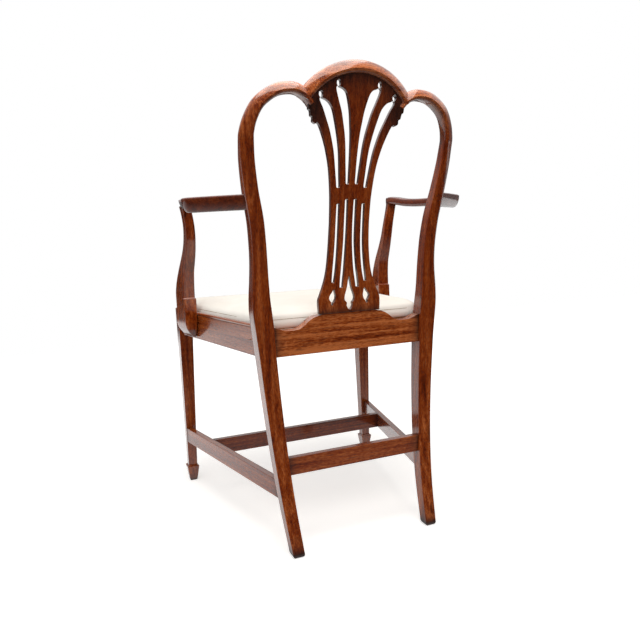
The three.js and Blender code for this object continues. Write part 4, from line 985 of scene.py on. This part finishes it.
def mahogany():
    f = Finish("polished_mahogany")
    grain = f.node("ShaderNodeAttribute", (), {"attribute_name": "grain"}, "Vector")
    tint = f.node("ShaderNodeAttribute", (), {"attribute_name": "tint"}, "Fac")
    ribbon = f.noise(grain, (110, 110, 2.6), 3, 0.55, 0.3)
    streak = f.noise(grain, (60, 60, 1.1), 2, 0.5, 0.4)
    fleck = f.noise(grain, (600, 600, 100), 2, 0.6, 0.2)
    tone = f.noise(grain, (11, 11, 1.2), 2, 0.5)
    pores = f.noise(grain, (760, 760, 34), 2, 0.6)
    curl = f.noise(grain, (20, 20, 90), 2, 0.5, 0.6)
    swing = ribbon * 0.8 + curl * 0.12 + tone * 0.15 + fleck * 0.6 - 0.835
    depth = swing * (tint * 4 + 1) + tint + 0.5
    colour = f.ramp(
        depth, (0.25, (0.06, 0.007, 0.001)), (0.42, (0.165, 0.021, 0.0015)), (0.55, (0.24, 0.042, 0.004)),
        (0.7, (0.36, 0.085, 0.018)), (0.85, (0.5, 0.14, 0.037)),
    )
    dark = f.between(streak, 0.6, 0.74)
    colour = f.mix(dark * 0.5, colour, (0.04, 0.006, 0.001))
    pore = f.between(pores, 0.54, 0.68)
    colour = f.mix(pore * 0.5, colour, (0.03, 0.005, 0.001))
    grime = f.node("ShaderNodeAttribute", (), {"attribute_name": "grime"}, "Fac")
    # Painted shade: faces that look down are darkened as if in shadow.
    facing = f.node("ShaderNodeSeparateXYZ", {0: f.node("ShaderNodeNewGeometry", (), (), "Normal")}, (), 2)
    grime = grime.over(f.between(facing, -0.2, -0.8) * 0.6)
    # Dirt at the board ends darkens the colour. So does painted shade under the arch, at the notches, in
    # the holes, inside the hoops and on downward faces.
    colour = f.mix(grime * 0.9, colour, (0.012, 0.004, 0.002))
    roughness = 0.2 + f.noise(grain, (30, 30, 9), 3, 0.6) * 0.1 + pore * 0.12 + grime * 0.3
    return f.done(
        colour, roughness, height=(ribbon * 0.4 - pore), depth=0.0001, strength=0.5,
        Coat_Weight=0.8, Coat_Roughness=0.1, IOR=1.5, Specular_IOR_Level=0.25,
    )


def beech():
    f = Finish("planed_beech")
    place = f.node("ShaderNodeTexCoord", (), (), "Object")
    wood = f.noise(place, (40, 40, 160), 3, 0.55, 0.4)
    fleck = f.between(f.noise(place, (350, 350, 120), 2, 0.5), 0.6, 0.72)
    colour = f.ramp(wood, (0.3, (0.36, 0.20, 0.09)), (0.7, (0.58, 0.37, 0.19)))
    colour = f.mix(fleck * 0.5, colour, (0.30, 0.16, 0.07))
    return f.done(colour, 0.6 + wood * 0.15, height=wood, depth=0.0003, strength=0.5)


def brass():
    f = Finish("dull_brass")
    place = f.node("ShaderNodeTexCoord", (), (), "Object")
    dirt = f.noise(place, (420, 420, 420), 3, 0.6)
    colour = f.ramp(dirt, (0.35, (0.20, 0.12, 0.04)), (0.6, (0.55, 0.38, 0.16)))
    return f.done(colour, 0.3 + dirt * 0.3, height=dirt, depth=0.0001, Metallic=1.0)


def jute(name, pitch, dark, light):
    """Coarse cloth: threads over and under each other, in plan."""
    f = Finish(name)
    place = f.node("ShaderNodeTexCoord", (), (), "Object")
    x = f.node("ShaderNodeSeparateXYZ", {0: place}, (), 0)
    y = f.node("ShaderNodeSeparateXYZ", {0: place}, (), 1)
    turns = 2 * math.pi / (pitch * MM)
    warp, weft = (x * turns).sine(), (y * turns).sine()
    thread = (warp * weft) * 0.5 + 0.5
    slub = f.noise(place, (260, 260, 260), 3, 0.6)
    colour = f.mix(thread * 0.5 + slub * 0.5, dark, light)
    return f.done(colour, 0.85 + slub * 0.1, height=thread + slub * 0.5, depth=pitch * MM * 0.12)


def cream_cloth():
    """Plain woven cloth: fine threads on the top and sides, a few soft tones and a trace of nap."""
    f = Finish("cream_cloth")
    place = f.node("ShaderNodeTexCoord", (), (), "Object")
    x, y, z = (f.node("ShaderNodeSeparateXYZ", {0: place}, (), k) for k in range(3))
    turns = 2 * math.pi / (1.1 * MM)
    upright = f.node("ShaderNodeSeparateXYZ", {0: f.node("ShaderNodeNewGeometry", (), (), "Normal")}, (), 2)
    top = f.between(upright, 0.45, 0.75)
    flat = (x * turns).sine() * (y * turns).sine()
    wall = ((x + y) * (turns * 0.8)).sine() * (z * turns).sine()
    thread = wall + (flat - wall) * top
    slub = f.noise(place, (900, 160, 500), 3, 0.6)
    tone = f.noise(place, (13, 13, 13), 3, 0.55)
    colour = f.mix(f.between(tone, 0.3, 0.7), (0.92, 0.885, 0.82), (0.95, 0.925, 0.87))
    colour = f.mix(slub * 0.12, colour, (0.84, 0.78, 0.68))
    height = thread * 0.5 + slub + tone * 6
    return f.done(
        colour, 0.82 + slub * 0.12, height=height, depth=0.00012, strength=0.7,
        Sheen_Weight=0.15, Sheen_Roughness=0.5, Specular_IOR_Level=0.25,
    )


# Repeated small pieces
def geometry_tree(name, sockets):
    """A Geometry Nodes tree with named inputs, and a dictionary of them."""
    group = bpy.data.node_groups.new(name, "GeometryNodeTree")
    tree = Tree(group)
    group.interface.new_socket("Geometry", in_out="INPUT", socket_type="NodeSocketGeometry")
    for label, (kind, value) in sockets.items():
        socket = group.interface.new_socket(label, in_out="INPUT", socket_type=kind)
        if value is not None:
            socket.default_value = value
    group.interface.new_socket("Geometry", in_out="OUTPUT", socket_type="NodeSocketGeometry")
    source = group.nodes.new("NodeGroupInput")
    return tree, {s.name: Value(tree, s) for s in source.outputs if s.name}


def close_tree(tree, geometry, finish):
    """Ends a tree in real geometry with its material."""
    real = tree.node("GeometryNodeRealizeInstances", {0: geometry})
    dressed = tree.node("GeometryNodeSetMaterial", {0: real, "Material": finish})
    tree.node("NodeGroupOutput", {0: dressed})
    return tree.tree


def grown(obj, group, values):
    """Runs a Geometry Nodes tree on obj and keeps the plain mesh."""
    modifier = obj.modifiers.new("grown", "NODES")
    modifier.node_group = group
    for item in group.interface.items_tree:
        if item.item_type == "SOCKET" and item.in_out == "INPUT" and item.name in values:
            modifier[item.identifier] = values[item.name]
    return baked(obj)


def screw_tree():
    """Slotted heads and pointed shanks, one on each point, turned by the point's aim."""
    size = "NodeSocketFloat"
    tree, given = geometry_tree("countersunk_screws", {
        "Head radius": (size, 0.0042), "Shank radius": (size, 0.0021), "Head height": (size, 0.003),
        "Slot width": (size, 0.001), "Slot depth": (size, 0.0012), "Sides": ("NodeSocketInt", 32),
        "Finish": ("NodeSocketMaterial", None),
    })
    head = tree.node("GeometryNodeMeshCone", {
        "Vertices": given["Sides"], "Radius Top": given["Shank radius"],
        "Radius Bottom": given["Head radius"], "Depth": given["Head height"],
    })
    slot_size = tree.node("ShaderNodeCombineXYZ", {
        0: given["Head radius"] * 3, 1: given["Slot width"], 2: given["Slot depth"] * 2,
    })
    slot = tree.node("GeometryNodeMeshCube", {"Size": slot_size})
    slotted = tree.node(
        "GeometryNodeMeshBoolean", {0: head, 1: slot}, {"operation": "DIFFERENCE", "solver": "EXACT"},
    )
    shank = tree.node("GeometryNodeMeshCone", {
        "Vertices": given["Sides"], "Radius Top": given["Shank radius"] * 0.25,
        "Radius Bottom": given["Shank radius"], "Depth": 1.0,
    })
    aim = tree.node(
        "GeometryNodeInputNamedAttribute", {"Name": "aim"}, {"data_type": "FLOAT_VECTOR"},
    )
    length = tree.node("GeometryNodeInputNamedAttribute", {"Name": "length"}, {"data_type": "FLOAT"})
    turn = tree.node("FunctionNodeAlignRotationToVector", {"Vector": aim}, {"axis": "Z"})
    heads = tree.node("GeometryNodeInstanceOnPoints", {
        "Points": given["Geometry"], "Instance": slotted, "Rotation": turn,
    })
    inset = tree.node(
        "ShaderNodeVectorMath", {0: aim, "Scale": given["Head height"] * 0.9}, {"operation": "SCALE"},
    )
    behind = tree.node("GeometryNodeSetPosition", {"Geometry": given["Geometry"], "Offset": inset})
    stretch = tree.node("ShaderNodeCombineXYZ", {0: 1.0, 1: 1.0, 2: length - given["Head height"]})
    shanks = tree.node("GeometryNodeInstanceOnPoints", {
        "Points": behind, "Instance": shank, "Rotation": turn, "Scale": stretch,
    })
    join = tree.node("GeometryNodeJoinGeometry", {0: heads})
    tree.tree.links.new(shanks.socket, join.socket.node.inputs[0])
    return close_tree(tree, join, given["Finish"])


def screw_places(nodes):
    """Head centre, direction and length of each screw of the frame."""
    rows = []
    for node in nodes:
        co = np.unique(np.round(points_of(node), 7), axis=0)
        axis = np.linalg.svd(co - co.mean(0))[2][0]
        along = (co - co.mean(0)) @ axis
        wide = np.linalg.norm(co - co.mean(0) - np.outer(along, axis), axis=1)
        if along[wide.argmax()] > 0:
            axis, along = -axis, -along
        tip = co[along.argmax()]
        head = co[along < along.min() + 0.0002].mean(0)
        head += axis * (ARM.screw_depth * MM if node.name.startswith("arm_screw") else 0)
        rows.append((head, (tip - head) / np.linalg.norm(tip - head), np.linalg.norm(tip - head)))
    return rows


def screws(nodes, finish):
    rows = screw_places(nodes)
    obj = made("brass_screws", np.array([r[0] for r in rows]) / MM, [])
    noted(obj, "aim", np.array([r[1] for r in rows]))
    noted(obj, "length", np.array([r[2] for r in rows]))
    return shaded(tidy(grown(obj, screw_tree(), {"Finish": finish})), 30)


def strap_tree():
    """Flat straps swept along the lines that they are given."""
    tree, given = geometry_tree("woven_straps", {
        "Width": ("NodeSocketFloat", 0.05), "Thickness": ("NodeSocketFloat", 0.0011),
        "Step": ("NodeSocketFloat", 0.006), "Finish": ("NodeSocketMaterial", None),
    })
    line = tree.node("GeometryNodeMeshToCurve", {0: given["Geometry"]})
    even = tree.node("GeometryNodeResampleCurve", {0: line, "Length": given["Step"]}, {"mode": "LENGTH"})
    level = tree.node("GeometryNodeSetCurveNormal", {0: even}, {"mode": "Z_UP"})
    profile = tree.node(
        "GeometryNodeCurvePrimitiveQuadrilateral",
        {"Width": given["Width"], "Height": given["Thickness"]}, {"mode": "RECTANGLE"},
    )
    inputs = {"Curve": level, "Profile Curve": profile, "Fill Caps": True}
    return close_tree(tree, tree.node("GeometryNodeCurveToMesh", inputs), given["Finish"])


def straps(finish):
    """The webbing: three straps each way, over and under each other."""
    points, chains = [], []
    middle = (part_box("webbing_lengthwise_2")[0].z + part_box("webbing_crosswise_2")[1].z) / 2
    for axis, way, other in ((1, "lengthwise", "crosswise"), (0, "crosswise", "lengthwise")):
        crossing = sum(end[axis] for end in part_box(f"webbing_{other}_2")) / 2
        for index in (1, 2, 3):
            low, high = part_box(f"webbing_{way}_{index}")
            centre = (low[1 - axis] + high[1 - axis]) / 2
            sign = (-1) ** index * (1 if axis else -1)
            start = len(points)
            for s in np.linspace(low[axis], high[axis], WEBBING.steps):
                wave = math.cos(math.pi * (s - crossing) / (WEBBING.spacing * MM)) * sign
                p = [0, 0, middle + WEBBING.wave * MM * wave]
                p[axis], p[1 - axis] = s, centre
                points.append(p)
            chains += [(k, k + 1) for k in range(start, len(points) - 1)]
    mesh = bpy.data.meshes.new("webbing_straps")
    mesh.from_pydata(points, chains, [])
    obj = bpy.data.objects.new("webbing_straps", mesh)
    bpy.context.scene.collection.objects.link(obj)
    return shaded(tidy(grown(obj, strap_tree(), {"Finish": finish}), 1e-6), 30)


# Putting it together
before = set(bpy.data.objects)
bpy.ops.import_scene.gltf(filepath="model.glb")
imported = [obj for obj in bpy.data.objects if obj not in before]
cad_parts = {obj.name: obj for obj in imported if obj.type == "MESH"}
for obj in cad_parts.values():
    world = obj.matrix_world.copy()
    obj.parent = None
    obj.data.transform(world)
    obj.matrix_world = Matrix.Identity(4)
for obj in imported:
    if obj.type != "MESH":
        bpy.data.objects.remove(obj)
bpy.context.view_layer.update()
MAHOGANY, BEECH, BRASS = mahogany(), beech(), brass()
WEB_JUTE = jute("jute_webbing", 1.6, (0.24, 0.15, 0.07), (0.52, 0.37, 0.20))
HESSIAN = jute("jute_hessian", 2.4, (0.20, 0.13, 0.06), (0.48, 0.35, 0.20))
CREAM = cream_cloth()
BOARDS = iter(range(100))


def placed(obj, body, slot, *nodes, finish=None):
    """Dresses a finished piece, puts it on its body and hides the frame's plain piece."""
    if finish is not None:
        obj.data.materials.clear()
        obj.data.materials.append(finish)
    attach(obj, body)
    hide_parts(*nodes)
    return obj


def no_darkening(co):
    return np.zeros(len(co))


def handled(co):
    """Darker all over."""
    return np.full(len(co), GRIME.handled)


def splat_painted_shade(co):
    """Painted shadow under the arch and at the notches, and painted shade on the sawn walls of the holes.
    """
    under = ARCH.radius - ARCH.band - np.hypot(co[:, 0], co[:, 2] - HEIGHT + ARCH.radius)
    deep = np.array([back_face(z) for z in co[:, 2]]) - SPLAT.recess - SPLAT.thickness / 2 - co[:, 1]
    inside = np.clip((SPLAT.thickness / 2 - np.abs(deep)) / SPLAT.edge, 0, 1)
    upper = np.clip((co[:, 2] - HEIGHT + ARCH.radius) / SPLAT.shadow, 0, 1)
    corner = np.hypot(np.abs(co[:, 0]) - SPLAT.notch[0], co[:, 2] - SPLAT.notch[1]) / SPLAT.shadow
    arch = SPLAT.arch_soot * upper * np.exp(-np.maximum(under, 0) / SPLAT.shadow)
    notch = SPLAT.notch_soot * np.exp(-(corner / 2) ** 2)
    return np.max([arch, notch, SPLAT.wall_soot * inside], axis=0)


def crest_painted_shade(co):
    """Painted shade on the inner sides of the hoops."""
    ways = []
    for sign in (1, -1):
        inside = np.array([sign * CREST.hoop[0], CREST.hoop[1]]) - co[:, (0, 2)]
        ways.append(np.linalg.norm(inside, axis=1))
    away = np.min(ways, axis=0)
    depth = np.array([back_face(z) for z in co[:, 2]]) - co[:, 1]
    inner = np.clip((CREST.reach - away) / CREST.fade, 0, 1)
    return CREST.soot * inner * np.clip((depth - CREST.soot_from) / CREST.soot_over, 0, 1)


# The darkening function gives extra darkness for each point: painted shade on the splat and the crest, and
# the arms' all-over darkness.
def wooden(obj, along, *nodes, tint=(0, 0), ends=(1, 1), soot=no_darkening):
    grained(obj, along, next(BOARDS), tint, ends, soot)
    return placed(obj, "frame", "mahogany", *nodes, finish=MAHOGANY)


def matched(obj):
    """Lets the hoops' ends carry on the grain of the stiles, which are the first two boards."""
    co = points_of(obj)
    values = np.zeros(co.size)
    grain = obj.data.attributes["grain"].data
    grain.foreach_get("vector", values)
    values = values.reshape(-1, 3)
    for board, side in ((0, co[:, 0] > 0), (1, co[:, 0] < 0)):
        low = side & (co[:, 2] < CREST.matched * MM)
        values[low] = grain_of(co[low], STILE_WAY.normalized(), board)
    grain.foreach_set("vector", values.astype(np.float32).ravel())


def wooden_pair(obj, along, node, **looks):
    twin = mirrored(obj, obj.name.replace("_left", "_right"))
    wooden(obj, along, f"{node}_left", **looks)
    wooden(twin, (-along[0], along[1], along[2]), f"{node}_right", **looks)


STILE_WAY = Vector((0, 0.06, 1))
wooden_pair(back_leg(), STILE_WAY, "back_leg", tint=(0.07, -0.04), ends=(2.6, 0))
# Below, the crest is given painted shade on the inner sides of its hoops.
crest_piece = crest()
# The crest's tint grows lighter toward its top: a painted highlight on the top of the crest and hoops.
wooden(crest_piece, (1, 0, 0), "crest_rail", tint=(0.01, 0.28), ends=(0, 0), soot=crest_painted_shade)
matched(crest_piece)
# The splat gets painted shadow under the arch and at the notches, and painted shade in its holes.
wooden(splat(), (0, 0.15, 1), "splat", tint=(0.03, -0.06), ends=(1, 0), soot=splat_painted_shade)
wooden(back_rail(), (1, 0, 0), "back_seat_rail", tint=(0.16, 0.16), ends=(1.4, 1.4))
wooden_pair(front_leg(), (0, 0, 1), "front_leg", tint=(0.03, 0.06), ends=(1.4, 0))
wooden_pair(side_rail(), SIDE_WAY, "side_seat_rail", tint=(0.08, 0.08))
wooden(front_rail(), (1, 0, 0), "front_seat_rail", tint=(0.05, 0.05))
wooden_pair(arm(), (0.12, 1, 0), "arm", tint=(-0.07, -0.07), soot=handled)
wooden_pair(support(), (0, 0.3, 1), "arm_support", tint=(0.04, 0.02), ends=(0.6, 1))
wooden_pair(side_stretcher(), STRETCHER_WAY, "side_stretcher", tint=(0.06, 0.06), ends=(1.4, 1.4))
wooden(middle_stretcher(), (1, 0, 0), "middle_stretcher", tint=(0.03, 0.03))
wooden(back_stretcher(), (1, 0, 0), "back_stretcher", tint=(0.08, 0.08), ends=(1.4, 1.4))

screw_nodes = sorted(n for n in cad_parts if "screw" in n)
placed(screws([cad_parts[n] for n in screw_nodes], BRASS), "frame", "brass", *screw_nodes)
web_nodes = sorted(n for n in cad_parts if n.startswith("webbing"))
placed(straps(WEB_JUTE), "drop_in_seat", "jute", *web_nodes)
seat_pad = cushion()
placed(seat_pad, "drop_in_seat", "cream_fabric", "seat_cover", "seat_stuffing", finish=CREAM)

for node in sorted(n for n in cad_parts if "corner_block" in n or "seat_frame" in n):
    body = "drop_in_seat" if "seat_frame" in node else "frame"
    board = bpy.data.objects.new(f"{node}_wood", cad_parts[node].data.copy())
    bpy.context.scene.collection.objects.link(board)
    board.data.name = board.name
    softened(tidy(board, HAIR * MM), BEECH_EDGE, 2, 40)
    placed(shaded(board), body, "beech", node, finish=BEECH)

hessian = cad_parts["seat_hessian"]
hessian.data.materials.clear()
hessian.data.materials.append(HESSIAN)


# Floor, light and camera
def stage():
    mesh = bpy.data.meshes.new("floor")
    reach = 14
    corners = [(-reach, -reach, 0), (reach, -reach, 0), (reach, reach, 0), (-reach, reach, 0)]
    mesh.from_pydata(corners, [], [(0, 1, 2, 3)])
    floor = bpy.data.objects.new("floor", mesh)
    bpy.context.scene.collection.objects.link(floor)
    t = Finish("white_floor")
    seen = t.node("ShaderNodeLightPath", (), (), "Is Camera Ray")
    mirrored_ray = t.node("ShaderNodeLightPath", (), (), "Is Glossy Ray")
    place = t.node("ShaderNodeTexCoord", (), (), "Object")
    far = t.between(t.node("ShaderNodeVectorMath", {0: place}, {"operation": "LENGTH"}, "Value"), 0.5, 1.5)
    back = t.node("ShaderNodeSeparateXYZ", {0: place}, (), 1)
    paper = t.between(back, 1.0, -0.6) * t.between(back, -3.3, -2.4)
    plain = t.node("ShaderNodeBsdfDiffuse", {"Color": (0.82, 0.81, 0.8, 1)})
    glow = t.node("ShaderNodeEmission", {"Color": (1, 0.985, 0.965, 1), "Strength": seen * 0.6})
    lit = t.node("ShaderNodeAddShader", {0: plain, 1: glow})
    white = t.node("ShaderNodeEmission", {"Color": (1, 1, 1, 1), "Strength": seen.over(paper * 1.3)})
    both = t.node("ShaderNodeMixShader", {0: (far * seen).over(mirrored_ray), 1: lit, 2: white})
    t.node("ShaderNodeOutputMaterial", {"Surface": both})
    mesh.materials.append(t.material)


def lamp(name, place, aim, size, power, colour=(1, 1, 1)):
    data = bpy.data.lights.new(name, "AREA")
    data.shape, data.size, data.energy, data.color = "SQUARE", size, power, colour
    obj = bpy.data.objects.new(name, data)
    bpy.context.scene.collection.objects.link(obj)
    obj.location = place
    obj.rotation_euler = (Vector(aim) - Vector(place)).to_track_quat("-Z", "Y").to_euler()
    obj.visible_camera = False


def studio():
    world = bpy.data.worlds.new("white_studio")
    world.use_nodes = True
    bpy.context.scene.world = world
    t = Tree(world.node_tree)
    way = t.node("ShaderNodeTexCoord", (), (), "Generated")
    x, y, z = (t.node("ShaderNodeSeparateXYZ", {0: way}, (), k) for k in range(3))
    camera = t.node("ShaderNodeLightPath", (), (), "Is Camera Ray")
    glossy = t.node("ShaderNodeLightPath", (), (), "Is Glossy Ray")
    ceiling = t.between(z, 0.12, 0.6)
    window = t.between(y, -0.1, 0.9) * t.between(z, -0.1, 0.6)
    front = t.between(y, 0.3, -0.3)
    mirror = ceiling * t.between(y, 0.7, 0) * 1.4 + front * 0.17 + 0.01
    level = window * 0.6 + t.between(x, -0.1, 0.9) * 0.4 + 0.2
    level = level + (mirror - level) * glossy
    level = level + (1.0 - level) * camera
    shade = t.node("ShaderNodeBackground", {"Color": (1, 1, 1, 1), "Strength": level})
    t.node("ShaderNodeOutputWorld", {"Surface": shade})
    lamp("overhead", (0.12, 0.35, 1.75), (0, 0.12, 0.6), 1.1, 18.5, (1, 0.96, 0.91))


def camera():
    data = bpy.data.cameras.new("photo_view")
    data.sensor_width, data.lens = 36, VIEW.lens
    data.shift_x, data.shift_y = VIEW.shift
    obj = bpy.data.objects.new("photo_view", data)
    bpy.context.scene.collection.objects.link(obj)
    yaw, pitch, roll = (math.radians(v) for v in (VIEW.yaw, VIEW.pitch, VIEW.roll))
    ahead = Vector((-math.sin(yaw) * math.cos(pitch), -math.cos(yaw) * math.cos(pitch), math.sin(pitch)))
    level = Vector((-math.cos(yaw), math.sin(yaw), 0))
    over = level.cross(ahead)
    right = level * math.cos(roll) + over * math.sin(roll)
    up = over * math.cos(roll) - level * math.sin(roll)
    turn = Matrix((right, up, -ahead)).transposed().to_4x4()
    obj.matrix_world = Matrix.Translation(VIEW.place) @ turn
    bpy.context.scene.camera = obj


stage()
studio()
camera()
bpy.context.scene.view_settings.view_transform = "Standard"
